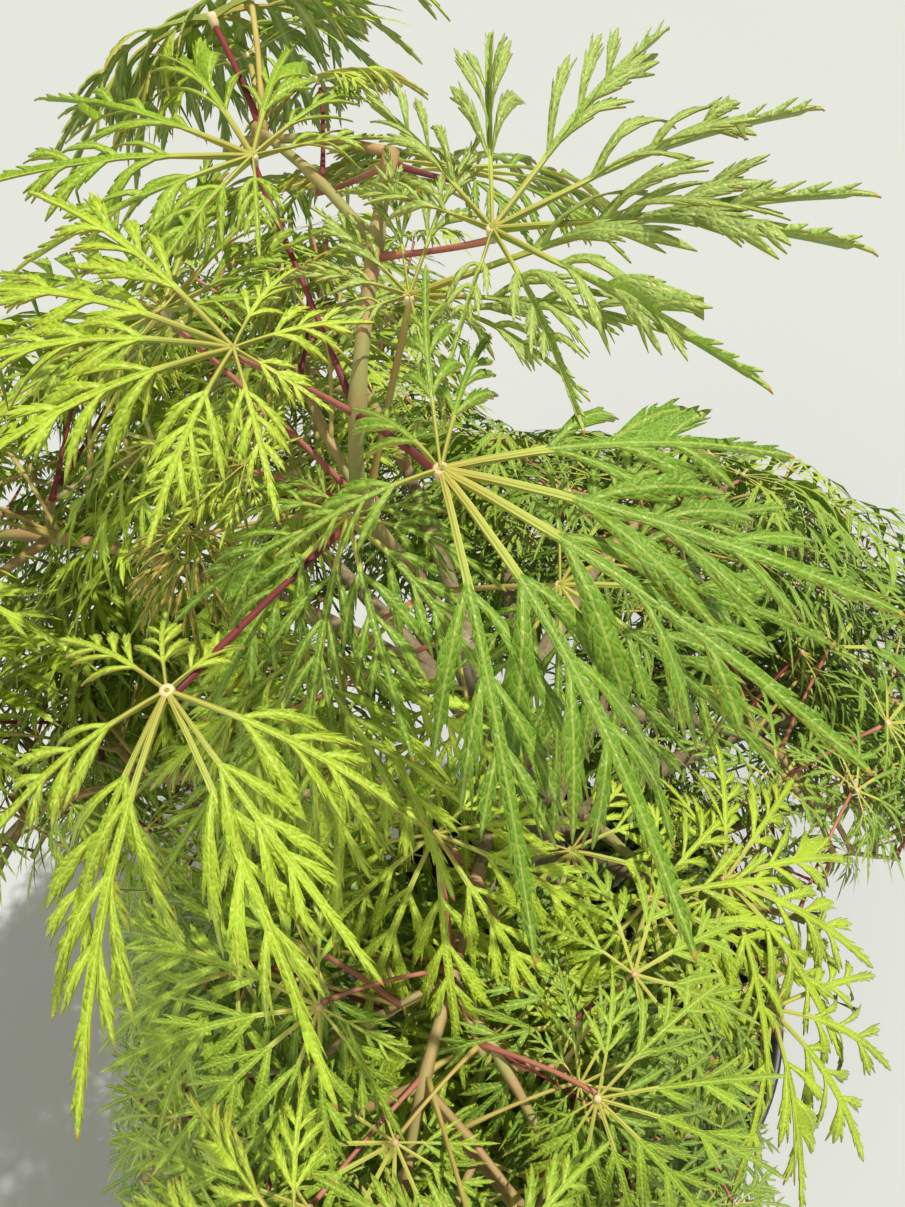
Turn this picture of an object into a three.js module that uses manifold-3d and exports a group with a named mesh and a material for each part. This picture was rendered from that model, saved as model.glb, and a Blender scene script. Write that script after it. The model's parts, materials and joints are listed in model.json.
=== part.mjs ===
// Potted full moon maple, a weeping tree with deeply cut leaves in a plain black nursery pot.
// Units are millimetres, +Z is up and the origin is the centre of the pot's underside.
// The trunk, each main bough and each foliage mass is one node. A mass is twigs grown by a seeded
// rule from one stem that starts just clear of its bough, with its leaves fused on.
import * as THREE from "three";
import { mergeVertices } from "three/addons/utils/BufferGeometryUtils.js";
import Module from "manifold-3d";

// Pot and soil
const POT_HEIGHT = 270;
const POT_BASE_RADIUS = 118;
const POT_TOP_RADIUS = 144;
const POT_WALL = 2.4;
const POT_FLOOR = 3;
const RIM_RADIUS = 150;
const RIM_HEIGHT = 24;
const RIM_LIP = 3.2;
const DRAIN_HOLES = 6;
const DRAIN_RADIUS = 5.5;
const DRAIN_LEVEL = 11;
const DRAIN_LENGTH = 12;
const DRAIN_SIDES = 6;
const FOOT_CHAMFER = 5;
const FLOOR_CHAMFER = 6;
const LIP_DEPTH = 5;
const RIM_EDGE = 2;
const SOIL_LEVEL = 246;
const SOIL_EDGE_LEVEL = 237;
const SOIL_MOUND_RADIUS = 88;
const SOIL_MOUND_DROP = 4;
const SOIL_FLAT_RADIUS = 38;
const GAP = 0.3;
const ROUND_SEGMENTS = 32;

// Trunk
const TRUNK_BASE_RADIUS = 13;
const TRUNK_TIP_RADIUS = 4.5;
const FLARE = 11;
const FLARE_FADE = 17;
const FLARE_RIBS = 5;
const FLARE_RIB_SHARE = 0.3;
const FLARE_RIB_TURN = 0.7;
const GRAFT_LEVEL = 312;
const GRAFT_SWELL = 3;
const GRAFT_SPREAD = 16;
const TRUNK_SIDES = 10;
const TRUNK_RINGS = 16;
const TRUNK_PATH = [
  [0, 0, 228],
  [-1, 1, 262],
  [-6, 5, 305],
  [-14, 4, 370],
  [-20, -4, 450],
  [-38, -14, 540],
  [-58, -24, 620],
  [-74, -31, 690],
];

// Boughs: where each leaves the trunk (height), its tip, the lift of its arch, and its root radius
const BOUGH_SIDES = 5;
const BOUGH_RINGS = 5;
const BOUGH_TIP_RADIUS = 2.3;
const ARCH_AT = 0.55;
const BOUGHS = {
  upper_left: { from: 640, tip: [-165, -8, 700], lift: 18, radius: 4.2 },
  upper_back: { from: 628, tip: [-92, 54, 684], lift: 16, radius: 4.2 },
  upper_back_right: { from: 616, tip: [-8, 60, 634], lift: 24, radius: 4.4 },
  upper_right: { from: 594, tip: [24, -8, 606], lift: 36, radius: 4.6 },
  upper_front: { from: 590, tip: [-66, -80, 632], lift: 14, radius: 4.2 },
  inner_front: { from: 548, tip: [-20, -46, 592], lift: 14, radius: 4.2 },
  middle_left: { from: 520, tip: [-160, -22, 590], lift: 24, radius: 5.2 },
  middle_front_left: { from: 500, tip: [-106, -96, 552], lift: 24, radius: 5 },
  middle_front: { from: 478, tip: [-34, -122, 506], lift: 30, radius: 5 },
  middle_front_right: { from: 478, tip: [14, -40, 520], lift: 22, radius: 4.8 },
  middle_right: { from: 508, tip: [116, 44, 540], lift: 40, radius: 5.6 },
  middle_back_right: { from: 526, tip: [52, 128, 552], lift: 36, radius: 5.4 },
  middle_back: { from: 544, tip: [-52, 142, 590], lift: 26, radius: 5.2 },
  middle_back_left: { from: 562, tip: [-146, 88, 618], lift: 24, radius: 5.2 },
  low_left: { from: 396, tip: [-156, 40, 456], lift: 34, radius: 6 },
  low_back_left: { from: 420, tip: [-104, 150, 480], lift: 34, radius: 6 },
  low_back: { from: 404, tip: [30, 166, 442], lift: 38, radius: 6.2 },
  low_right: { from: 384, tip: [140, 52, 418], lift: 42, radius: 6.2 },
  low_front_left: { from: 372, tip: [-124, -84, 436], lift: 34, radius: 6 },
  low_front: { from: 360, tip: [-24, -104, 420], lift: 36, radius: 6 },
};

// Growth of a mass: internodes of its stem, how fast it droops, and how many leaves its solid keeps
const INTERNODE = 33;
const SIDE_INTERNODE = 27;
const STEM_LEAD = 6;
const STEM_RADIUS = 2.1;
const TWIG_RADIUS = 1.6;
const TWIG_TIP_RADIUS = 1.3;
const PETIOLE_RADIUS = 1.3;
const LEAF_HALF_THICKNESS = 1.6;
const LOBES = 9;
const FEW_LOBES_SHARE = 0.75;
const FEW_LOBES_SPREAD = 1.2;
const LOBE_SHARE = [1, 0.97, 0.86, 0.7, 0.48];
const LOBE_HALF_WIDTH = 0.13;
const WIDEST_AT = 0.6;
const VALLEY_SHARE = 0.1;
const CROWDING = 0.42;
const KNEE = 5;
const SINK = 3;
const MEASURED_SAG = 0.28;
const TRIES = 9;
const CLEAR = 1.2;
const TRUNK_CLEAR = 1.5;
const NEAR = 100;
const SAME_FOOT = 4;
const AXIS_LEVELS = [260, 680];
const STEM_GROWTH = { droop: [0.6, 0.3], outward: 0.12, waver: 0.22, length: [0.88, 0.24] };
const SIDE_GROWTH = {
  across: 0.85, ahead: 0.62, rise: 0.18, dip: 0.35, waver: 0.25,
  droop: [0.16, 0.14], bend: 0.16, length: [0.85, 0.3],
};
const PETIOLE_GROWTH = {
  across: [0.45, 0.5], ahead: [0.2, 0.5], rise: [0.1, 0.75],
  outward: [0.1, 0.35], waver: 0.3, length: [34, 24],
};
const LEAF_GROWTH = {
  up: 0.85, outward: [0.2, 0.5], waver: 0.35, turnOut: 0.3, turnWaver: 0.5,
  size: [68, 20], shrink: 0.035, spread: [30, 4], droop: [0.35, 0.5], lift: [0.05, 0.15],
};
const SEED_STEP = 7919;
const ORDER_STEP = 131;
const TRY_STEP = 17;
const MASSES = {
  upper_left: { seed: 11, nodes: 4, sag: 0.3, leaves: 6 },
  upper_back: { seed: 12, nodes: 4, sag: 0.3, leaves: 6 },
  upper_back_right: { seed: 29, nodes: 3, sag: 0.3, leaves: 5 },
  upper_right: { seed: 46, nodes: 4, sag: 0.34, leaves: 6 },
  upper_front: { seed: 14, nodes: 3, sag: 0.34, leaves: 5 },
  inner_front: { seed: 42, nodes: 3, sag: 0.6, leaves: 5 },
  middle_left: { seed: 15, nodes: 4, sag: 0.42, leaves: 6 },
  middle_front_left: { seed: 16, nodes: 4, sag: 0.5, leaves: 6 },
  middle_front: { seed: 17, nodes: 4, sag: 0.5, leaves: 6 },
  middle_front_right: { seed: 59, nodes: 3, sag: 0.75, leaves: 6 },
  middle_right: { seed: 19, nodes: 4, sag: 0.4, leaves: 6 },
  middle_back_right: { seed: 20, nodes: 4, sag: 0.4, leaves: 6 },
  middle_back: { seed: 21, nodes: 4, sag: 0.4, leaves: 6 },
  middle_back_left: { seed: 22, nodes: 4, sag: 0.4, leaves: 6 },
  low_left: { seed: 23, nodes: 4, sag: 0.5, leaves: 6 },
  low_back_left: { seed: 24, nodes: 4, sag: 0.5, leaves: 6 },
  low_back: { seed: 25, nodes: 4, sag: 0.46, leaves: 6 },
  low_right: { seed: 26, nodes: 4, sag: 0.46, leaves: 6 },
  low_front_left: { seed: 27, nodes: 4, sag: 0.5, leaves: 6 },
  low_front: { seed: 28, nodes: 4, sag: 0.5, leaves: 6 },
};

// Where the photograph sees past the crown to bare ground: from the eye, looking down at a pitch,
// the slopes to the right and downwards between which no leaf of the crown hangs
const EYE = [-75, -205, 915];
const EYE_PITCH = 50;
const OPEN_WINDOWS = [
  { right: [0.38, 9], down: [0.33, 9] },
  { right: [-9, -0.4], down: [0.36, 9] },
  { right: [0.05, 9], down: [-9, -0.19] },
];

// The leader's shoot, and the leaves the photograph shows near: a junction, the shoot node its
// petiole leaves from, and each lobe's tip from the junction as right, back and up
const SHOOT = [
  [-86, -37, 728],
  [-97, -44, 762],
  [-96, -43, 790],
  [-92, -16, 813],
  [-89, 6, 823],
];
const SHOOT_LEAVES = [
  {
    at: [-77, -88, 811],
    node: 4,
    tips: [
      [-28, -13, -8], [16, -66, -52], [41, -68, -44], [72, -42, -30], [82, -16, -20],
      [68, 17, -12], [10, 48, -5], [-3, 42, 14], [-18, 28, -9],
    ],
  },
  {
    at: [-127, -111, 778],
    node: 3,
    tips: [
      [-34, -22, -19], [-24, -44, -46], [-12, -65, -41], [32, -60, -42], [40, -43, -29],
      [47, -16, -22], [9, 23, -12], [-8, 27, -10], [-28, 19, -9],
    ],
  },
  {
    at: [-115, -63, 818],
    node: 4,
    tips: [
      [-47, -22, -11], [-14, -32, -20], [9, -27, -18], [18, -6, -10], [25, 13, -3],
      [9, 26, 1], [-40, 27, 16], [-56, 12, 4], [-56, -5, -4],
    ],
  },
  {
    at: [-84, -34, 811],
    node: 3,
    tips: [
      [-28, 3, 2], [-19, -14, -3], [8, -30, -11], [37, -21, -11], [60, -12, -4],
      [92, 2, 20], [16, 37, 17], [-6, 36, 15], [-22, 22, 8],
    ],
  },
];
const SHOOT_FANS = [
  { at: [-139, -27, 803], node: 3, toward: [-30, 50, 12], face: [-0.25, -0.1, 1], size: 62, droop: 0.1 },
  { at: [-119, -1, 825], node: 4, toward: [-60, 34, 6], face: [0, -0.15, 1], size: 66, droop: 0.2 },
  { at: [-67, -31, 824], node: 5, toward: [72, 30, 14], face: [-0.1, -0.25, 1], size: 76, droop: 0.15 },
  { at: [-98, -62, 774], node: 2, toward: [-12, -50, -14], face: [0, -0.35, 1], size: 58, droop: 0.6 },
  { at: [-122, -61, 697], node: 1, toward: [-44, -34, -10], face: [-0.3, -0.3, 1], size: 72, droop: 0.6 },
  { at: [-74, 34, 806], node: 6, toward: [22, 60, -4], face: [0.1, 0.2, 1], size: 74, droop: 0.4 },
  { at: [-112, 40, 800], node: 6, toward: [-40, 60, -4], face: [-0.1, 0.25, 1], size: 74, droop: 0.45 },
];
const SEEN_SPREAD = 0.56;
const SEEN_LIFT = 0.12;
// Leaves of other masses that the photograph shows clearly
const SEEN_FANS = {
  upper_front: [
    { at: [-80, -84, 664], node: 2, toward: [10, -70, -18], face: [-0.05, -0.4, 1], size: 76, droop: 0.5 },
  ],
  middle_front_left: [
    { at: [-137, -124, 520], node: 2, toward: [-16, -70, -24], face: [-0.2, -0.4, 1], size: 76, droop: 0.5 },
  ],
};

const UP = new THREE.Vector3(0, 0, 1);
const vector = (p) => new THREE.Vector3(...p);
const mix = (a, b, t) => a.clone().lerp(b, t);

const wasm = await Module();
wasm.setup();

// A three.js geometry as a closed solid facing out
function solid(geometry) {
  const bare = geometry.clone();
  bare.deleteAttribute("normal");
  bare.deleteAttribute("uv");
  const merged = mergeVertices(bare, 1e-4);
  const index = Array.from(merged.index.array);
  const kept = [];
  for (let i = 0; i < index.length; i += 3) {
    const [a, b, c] = index.slice(i, i + 3);
    if (a !== b && b !== c && c !== a) kept.push(a, b, c);
  }
  const vertProperties = merged.attributes.position.array;
  const build = (corners) =>
    new wasm.Manifold(new wasm.Mesh({ numProp: 3, vertProperties, triVerts: new Uint32Array(corners) }));
  const made = build(kept);
  if (made.volume() > 0) return made;
  const turned = [];
  for (let i = 0; i < kept.length; i += 3) turned.push(kept[i], kept[i + 2], kept[i + 1]);
  return build(turned);
}

// A three.js mesh of a solid, as one named node
function node(name, body, material) {
  const mesh = body.getMesh();
  const geometry = new THREE.BufferGeometry();
  geometry.setAttribute("position", new THREE.BufferAttribute(new Float32Array(mesh.vertProperties), 3));
  geometry.setIndex(new THREE.BufferAttribute(new Uint32Array(mesh.triVerts), 1));
  geometry.computeVertexNormals();
  const made = new THREE.Mesh(geometry, material);
  made.name = name;
  return made;
}

function indexed(points, index) {
  const geometry = new THREE.BufferGeometry();
  const places = points.flatMap((p) => [p.x, p.y, p.z]);
  geometry.setAttribute("position", new THREE.Float32BufferAttribute(places, 3));
  geometry.setIndex(index);
  return geometry;
}

// A tapered limb through a line of points, closed at both ends
function limb(line, radiusAt, sides) {
  const points = [];
  const index = [];
  const last = line.length - 1;
  const tangentAt = (i) => line[Math.min(i + 1, last)].clone().sub(line[Math.max(i - 1, 0)]).normalize();
  let tangent = tangentAt(0);
  const across = new THREE.Vector3(Math.abs(tangent.x) > 0.9 ? 0 : 1, Math.abs(tangent.x) > 0.9 ? 1 : 0, 0);
  across.projectOnPlane(tangent).normalize();
  line.forEach((centre, i) => {
    const onward = tangentAt(i);
    across.applyQuaternion(new THREE.Quaternion().setFromUnitVectors(tangent, onward)).normalize();
    tangent = onward;
    const over = tangent.clone().cross(across);
    for (let j = 0; j < sides; j++) {
      const angle = (2 * Math.PI * j) / sides;
      const way = across.clone().multiplyScalar(Math.cos(angle)).addScaledVector(over, Math.sin(angle));
      points.push(centre.clone().addScaledVector(way, radiusAt(i / last, centre, way)));
    }
  });
  const ends = [points.length, points.length + 1];
  points.push(line[0], line[last]);
  for (let j = 0; j < sides; j++) {
    const k = (j + 1) % sides;
    for (let i = 0; i < last; i++) {
      const a = i * sides;
      const b = a + sides;
      index.push(a + j, a + k, b + k, a + j, b + k, b + j);
    }
    index.push(ends[0], k, j, ends[1], last * sides + j, last * sides + k);
  }
  return solid(indexed(points, index));
}

const tapered = (from, to) => (u) => from + (to - from) * u;

function lathe(profile) {
  const outline = profile.map(([r, z]) => new THREE.Vector2(r, z));
  return solid(new THREE.LatheGeometry(outline, ROUND_SEGMENTS).rotateX(Math.PI / 2));
}

// The wall's inner radius at a height
function innerRadius(z) {
  const outer = POT_BASE_RADIUS + ((POT_TOP_RADIUS - POT_BASE_RADIUS) * z) / POT_HEIGHT;
  return outer - POT_WALL;
}

function makePot() {
  const shoulder = POT_HEIGHT - RIM_HEIGHT;
  const outerShoulder = innerRadius(shoulder) + POT_WALL;
  let made = lathe([
    [0, 0],
    [POT_BASE_RADIUS - FOOT_CHAMFER, 0],
    [POT_BASE_RADIUS, FOOT_CHAMFER],
    [outerShoulder, shoulder],
    [RIM_RADIUS, shoulder],
    [RIM_RADIUS, POT_HEIGHT - RIM_EDGE],
    [RIM_RADIUS - RIM_EDGE, POT_HEIGHT],
    [innerRadius(POT_HEIGHT) - RIM_LIP + POT_WALL, POT_HEIGHT],
    [innerRadius(POT_HEIGHT - LIP_DEPTH), POT_HEIGHT - LIP_DEPTH],
    [innerRadius(POT_FLOOR + FLOOR_CHAMFER), POT_FLOOR + FLOOR_CHAMFER],
    [innerRadius(0) - FLOOR_CHAMFER, POT_FLOOR],
    [0, POT_FLOOR],
  ]);
  for (let i = 0; i < DRAIN_HOLES; i++) {
    const hole = new THREE.CylinderGeometry(DRAIN_RADIUS, DRAIN_RADIUS, DRAIN_LENGTH, DRAIN_SIDES);
    hole.translate(0, POT_BASE_RADIUS - 1, 0);
    hole.rotateZ((2 * Math.PI * (i + 0.5)) / DRAIN_HOLES);
    hole.translate(0, 0, DRAIN_LEVEL);
    made = made.subtract(solid(hole));
  }
  return made;
}

function makeSoil() {
  const edge = innerRadius(SOIL_EDGE_LEVEL) - 2 * GAP;
  return lathe([
    [0, POT_FLOOR + GAP],
    [innerRadius(0) - FLOOR_CHAMFER - 1, POT_FLOOR + GAP],
    [innerRadius(POT_FLOOR + FLOOR_CHAMFER) - 2 * GAP, POT_FLOOR + FLOOR_CHAMFER + 1],
    [edge, SOIL_EDGE_LEVEL],
    [SOIL_MOUND_RADIUS, SOIL_LEVEL - SOIL_MOUND_DROP],
    [SOIL_FLAT_RADIUS, SOIL_LEVEL],
    [0, SOIL_LEVEL],
  ]);
}

const trunkCurve = new THREE.CatmullRomCurve3(TRUNK_PATH.map(vector), false, "centripetal");
const TRUNK_BOTTOM = SOIL_LEVEL + GAP;
const trunkLine = trunkCurve.getSpacedPoints(TRUNK_RINGS);

function trunkRadius(u, z) {
  const taper = TRUNK_BASE_RADIUS + (TRUNK_TIP_RADIUS - TRUNK_BASE_RADIUS) * u;
  return taper + GRAFT_SWELL * Math.exp(-(((z - GRAFT_LEVEL) / GRAFT_SPREAD) ** 2));
}

function makeTrunk(extra) {
  const radiusAt = (u, centre, across) => {
    const foot = Math.exp(-Math.max(0, centre.z - SOIL_LEVEL) / FLARE_FADE);
    const ribs = 1 + FLARE_RIB_SHARE * Math.cos(FLARE_RIBS * Math.atan2(across.y, across.x) + FLARE_RIB_TURN);
    return trunkRadius(u, centre.z) + FLARE * foot * ribs + extra;
  };
  const grown = limb(trunkLine, radiusAt, TRUNK_SIDES);
  const below = new THREE.BoxGeometry(200, 200, 100).translate(0, 0, TRUNK_BOTTOM - 50);
  return grown.subtract(solid(below));
}

// The trunk's axis at a height
function trunkAt(z) {
  let low = 0;
  let high = 1;
  for (let i = 0; i < 40; i++) {
    const middle = (low + high) / 2;
    if (trunkCurve.getPoint(middle).z < z) low = middle;
    else high = middle;
  }
  return trunkCurve.getPoint(low);
}

function boughLine({ from, tip, lift }) {
  const root = trunkAt(from);
  const end = vector(tip);
  const arch = mix(root, end, ARCH_AT).addScaledVector(UP, lift);
  return new THREE.QuadraticBezierCurve3(root, arch, end).getPoints(BOUGH_RINGS);
}

// Where a stem takes over from a limb's end: two points in line with it, just clear of it
function carryOn(line) {
  const end = line[line.length - 1];
  const direction = end.clone().sub(line[line.length - 2]).normalize();
  const start = end.clone().addScaledVector(direction, GAP);
  return { direction, points: [start, start.clone().addScaledVector(direction, STEM_LEAD)] };
}

// The same numbers in any language: a small seeded generator
function seeded(seed) {
  let state = seed >>> 0;
  return () => {
    state = (state + 0x6d2b79f5) >>> 0;
    let t = Math.imul(state ^ (state >>> 15), 1 | state);
    t = (t + Math.imul(t ^ (t >>> 7), 61 | t)) ^ t;
    return ((t ^ (t >>> 14)) >>> 0) / 4294967296;
  };
}

const wobble = (next) => new THREE.Vector3(next() - 0.5, next() - 0.5, next() - 0.5);
const drawn = ([least, span], next) => least + span * next();

function outwardFrom(p) {
  const axis = trunkAt(Math.min(AXIS_LEVELS[1], Math.max(AXIS_LEVELS[0], p.z)));
  return new THREE.Vector3(p.x - axis.x, p.y - axis.y, 0).normalize();
}

// Clearance bars: a segment with a half width along its side and a half thickness along its face
function bar(a, b, width, side = null, face = null) {
  return { a, b, width, side, face };
}

function barReach(one, direction) {
  if (!one.side) return one.width;
  const thickness = LEAF_HALF_THICKNESS * Math.abs(direction.dot(one.face));
  return one.width * Math.abs(direction.dot(one.side)) + thickness;
}

const clamp01 = (x) => Math.min(1, Math.max(0, x));

// The clear distance between two bars
function clearance(one, other) {
  const u = one.b.clone().sub(one.a);
  const v = other.b.clone().sub(other.a);
  const w = one.a.clone().sub(other.a);
  const a = u.dot(u);
  const b = u.dot(v);
  const c = v.dot(v);
  const d = u.dot(w);
  const e = v.dot(w);
  const flat = a * c - b * b;
  let s = flat > 1e-9 ? clamp01((b * e - c * d) / flat) : 0;
  const t = clamp01((b * s + e) / c);
  s = clamp01((b * t - d) / a);
  const apart = w.addScaledVector(u, s).addScaledVector(v, -t);
  const distance = apart.length();
  if (distance < 1e-6) return -1;
  apart.divideScalar(distance);
  return distance - barReach(one, apart) - barReach(other, apart);
}

// A leaf's lobes: each is a tip and the height of its arch
function fan(at, heading, face, size, droop, spread, lift, count = LOBES) {
  const normal = face.clone().normalize();
  const ahead = heading.clone().addScaledVector(normal, -heading.dot(normal)).normalize();
  const across = normal.clone().cross(ahead);
  const lobes = [];
  const half = (count - 1) / 2;
  for (let k = -half; k <= half; k++) {
    const angle = k * spread;
    const start = ahead.clone().multiplyScalar(Math.cos(angle)).addScaledVector(across, Math.sin(angle));
    start.addScaledVector(normal, lift);
    const reach = start.clone().addScaledVector(UP, -droop);
    const scale = (size * LOBE_SHARE[Math.abs(k)]) / reach.length();
    lobes.push({ tip: at.clone().addScaledVector(reach, scale), sag: droop * scale });
  }
  return { at, normal, lobes };
}

// A leaf measured lobe by lobe, its tips in order round its normal
function measured(at, tips) {
  const lobes = tips.map((p) => {
    const tip = at.clone().add(vector(p));
    return { tip, sag: MEASURED_SAG * tip.distanceTo(at) };
  });
  const normal = new THREE.Vector3();
  lobes.forEach(({ tip }, i) => {
    const next = lobes[(i + 1) % lobes.length].tip;
    const turn = tip.clone().sub(at).normalize().cross(next.clone().sub(at).normalize());
    normal.add(turn);
  });
  return { at, normal: normal.normalize(), lobes };
}

function along(leaf, lobe, s) {
  return mix(leaf.at, lobe.tip, s).addScaledVector(UP, lobe.sag * (s - s * s));
}

// Half width of a lobe, narrower where its neighbours crowd it
function halfWidth(leaf, i) {
  const count = leaf.lobes.length;
  const chord = (k) => leaf.lobes[(k + count) % count].tip.clone().sub(leaf.at).projectOnPlane(leaf.normal);
  const own = chord(i);
  const crowd = Math.min(own.angleTo(chord(i - 1)), own.angleTo(chord(i + 1)));
  return leaf.lobes[i].tip.distanceTo(leaf.at) * Math.min(LOBE_HALF_WIDTH, CROWDING * WIDEST_AT * crowd);
}

function leafBars(leaf) {
  const bars = [];
  leaf.lobes.forEach((lobe, i) => {
    const side = leaf.normal.clone().cross(lobe.tip.clone().sub(leaf.at)).normalize();
    const width = halfWidth(leaf, i);
    const middle = along(leaf, lobe, 0.5);
    const faceOf = (p, q) => q.clone().sub(p).cross(side).normalize();
    bars.push(bar(leaf.at, middle, width * 0.9, side, faceOf(leaf.at, middle)));
    bars.push(bar(middle, lobe.tip, width, side, faceOf(middle, lobe.tip)));
  });
  return bars;
}

// A leaf as a closed thin star whose underside runs on into its petiole
function leafSolid(leaf) {
  const { at, normal, foot, lobes } = leaf;
  const outline = [];
  lobes.forEach((lobe, i) => {
    const chord = lobe.tip.clone().sub(at);
    const next = lobes[(i + 1) % lobes.length].tip.clone().sub(at);
    const side = normal.clone().cross(chord).normalize();
    const wide = along(leaf, lobe, WIDEST_AT);
    const width = halfWidth(leaf, i);
    const valley = chord.clone().normalize().add(next.clone().normalize()).projectOnPlane(normal).normalize();
    const depth = VALLEY_SHARE * Math.max(chord.length(), next.length());
    outline.push(wide.clone().addScaledVector(side, -width), lobe.tip.clone());
    outline.push(wide.clone().addScaledVector(side, width), at.clone().addScaledVector(valley, depth));
  });
  const count = outline.length;
  const points = [...outline];
  const top = points.push(at.clone().addScaledVector(normal, LEAF_HALF_THICKNESS)) - 1;
  const stalk = foot.clone().sub(at).normalize();
  const down = normal.clone().negate();
  const knee = at.clone().addScaledVector(down, KNEE).addScaledVector(stalk, KNEE / 2);
  const starts = [0, 1, 2].map((j) => Math.round((j * count) / 3));
  const rims = [
    { centre: at.clone().addScaledVector(down, LEAF_HALF_THICKNESS), way: down },
    { centre: knee, way: down.clone().add(stalk).normalize() },
    { centre: foot, way: stalk },
  ];
  const rings = rims.map(({ centre, way }) => {
    const turn = new THREE.Quaternion().setFromUnitVectors(down, way);
    return starts.map((i) => {
      const spoke = outline[i].clone().sub(at).projectOnPlane(normal).normalize().applyQuaternion(turn);
      return points.push(centre.clone().addScaledVector(spoke, PETIOLE_RADIUS)) - 1;
    });
  });
  const index = [];
  for (let i = 0; i < count; i++) index.push(top, i, (i + 1) % count);
  for (let j = 0; j < 3; j++) {
    const k = (j + 1) % 3;
    const stop = k ? starts[k] : count;
    for (let i = starts[j]; i < stop; i++) index.push(rings[0][j], (i + 1) % count, i);
    index.push(rings[0][j], rings[0][k], stop % count);
    for (let r = 0; r < 2; r++) {
      index.push(rings[r][k], rings[r][j], rings[r + 1][j], rings[r][k], rings[r + 1][j], rings[r + 1][k]);
    }
  }
  index.push(rings[2][0], rings[2][2], rings[2][1]);
  return solid(indexed(points, index));
}

// The stem and side twigs of a mass, and the places where its leaves may stand
function growTwigs(name) {
  const mass = MASSES[name];
  const next = seeded(mass.seed);
  const onward = carryOn(boughLine(BOUGHS[name]));
  let direction = onward.direction;
  let at = onward.points[1];
  const stem = onward.points.map((point) => ({ at: point, direction: direction.clone() }));
  for (let i = 0; i < mass.nodes; i++) {
    const { droop, outward, waver, length } = STEM_GROWTH;
    direction = direction.clone().addScaledVector(UP, -mass.sag * (droop[0] + droop[1] * i));
    direction.addScaledVector(outwardFrom(at), outward).addScaledVector(wobble(next), waver).normalize();
    at = at.clone().addScaledVector(direction, INTERNODE * drawn(length, next));
    stem.push({ at, direction: direction.clone() });
  }
  const sides = [];
  const { across, ahead, rise, dip, waver, droop, bend, length } = SIDE_GROWTH;
  for (let i = 1; i < mass.nodes; i++) {
    for (const hand of [-1, 1]) {
      const from = stem[i + 1];
      let way = from.direction.clone().cross(UP).normalize().multiplyScalar(hand * across);
      way.addScaledVector(from.direction, ahead);
      way.addScaledVector(UP, rise * (next() - dip)).addScaledVector(wobble(next), waver).normalize();
      const twig = [{ at: from.at, direction: way.clone() }];
      for (let k = 0; k < 2; k++) {
        const last = twig[twig.length - 1].at.clone();
        way = way.clone().addScaledVector(UP, -droop[0] - droop[1] * k);
        way.addScaledVector(wobble(next), bend).normalize();
        last.addScaledVector(way, SIDE_INTERNODE * drawn(length, next));
        twig.push({ at: last, direction: way.clone() });
      }
      sides.push(twig);
    }
  }
  return { stem, sides };
}

// A petiole's foot: inside the twig, just short of its joint
function footOn(line, joint) {
  const from = line[Math.max(0, joint - 1)];
  const way = line[Math.max(1, joint)].clone().sub(from).normalize();
  return line[joint].clone().addScaledVector(way, joint ? -SINK : SINK);
}

// Where leaves may stand on a mass, the outer places first
function leafSites(name, { stem, sides }) {
  const sites = [];
  const last = stem.length - 1;
  const add = (twig, joint, hand) => sites.push({ twig, joint, hand });
  add(-1, last, -1);
  add(-1, last, 1);
  for (let i = sides.length - 1; i >= 0; i--) add(i, 2, i % 2 ? 1 : -1);
  for (let i = last - 1; i > 1; i--) {
    add(-1, i, -1);
    add(-1, i, 1);
  }
  for (let i = sides.length - 1; i >= 0; i--) add(i, 2, i % 2 ? -1 : 1);
  for (let i = sides.length - 1; i >= 0; i--) {
    add(i, 1, 1);
    add(i, 1, -1);
  }
  return sites;
}

// One try at a leaf on its site
function tryLeaf(name, twigs, site, order, attempt) {
  const next = seeded(MASSES[name].seed * SEED_STEP + order * ORDER_STEP + attempt * TRY_STEP);
  const place = site.twig < 0 ? twigs.stem[site.joint] : twigs.sides[site.twig][site.joint];
  const outward = outwardFrom(place.at);
  const stalk = PETIOLE_GROWTH;
  const blade = LEAF_GROWTH;
  const petiole = place.direction.clone().cross(UP).normalize();
  petiole.multiplyScalar(site.hand * drawn(stalk.across, next));
  petiole.addScaledVector(place.direction, drawn(stalk.ahead, next));
  petiole.addScaledVector(UP, drawn(stalk.rise, next));
  petiole.addScaledVector(outward, drawn(stalk.outward, next));
  petiole.addScaledVector(wobble(next), stalk.waver).normalize();
  const at = place.at.clone().addScaledVector(petiole, drawn(stalk.length, next));
  const face = UP.clone().multiplyScalar(blade.up).addScaledVector(outward, drawn(blade.outward, next));
  face.addScaledVector(wobble(next), blade.waver);
  const heading = petiole.clone().addScaledVector(outward, blade.turnOut);
  heading.addScaledVector(wobble(next), blade.turnWaver).setZ(0);
  const size = drawn(blade.size, next) * (1 - blade.shrink * attempt);
  const spread = drawn(blade.spread, next) * (Math.PI / 180);
  const droop = drawn(blade.droop, next);
  const lift = drawn(blade.lift, next);
  const few = next() < FEW_LOBES_SHARE;
  const turn = few ? spread * FEW_LOBES_SPREAD : spread;
  const leaf = fan(at, heading, face, size, droop, turn, lift, few ? LOBES - 2 : LOBES);
  const line = site.twig < 0 ? twigs.stem : twigs.sides[site.twig];
  leaf.foot = footOn(line.map((joint) => joint.at), site.joint);
  leaf.site = site;
  return leaf;
}

const POT_REACH = RIM_RADIUS + 10;
const POT_TOP = POT_HEIGHT + 8;
const FLOOR_LEVEL = 200;

function clearOfPot(p) {
  return p.z > FLOOR_LEVEL && (p.z > POT_TOP || Math.hypot(p.x, p.y) > POT_REACH);
}

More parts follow.
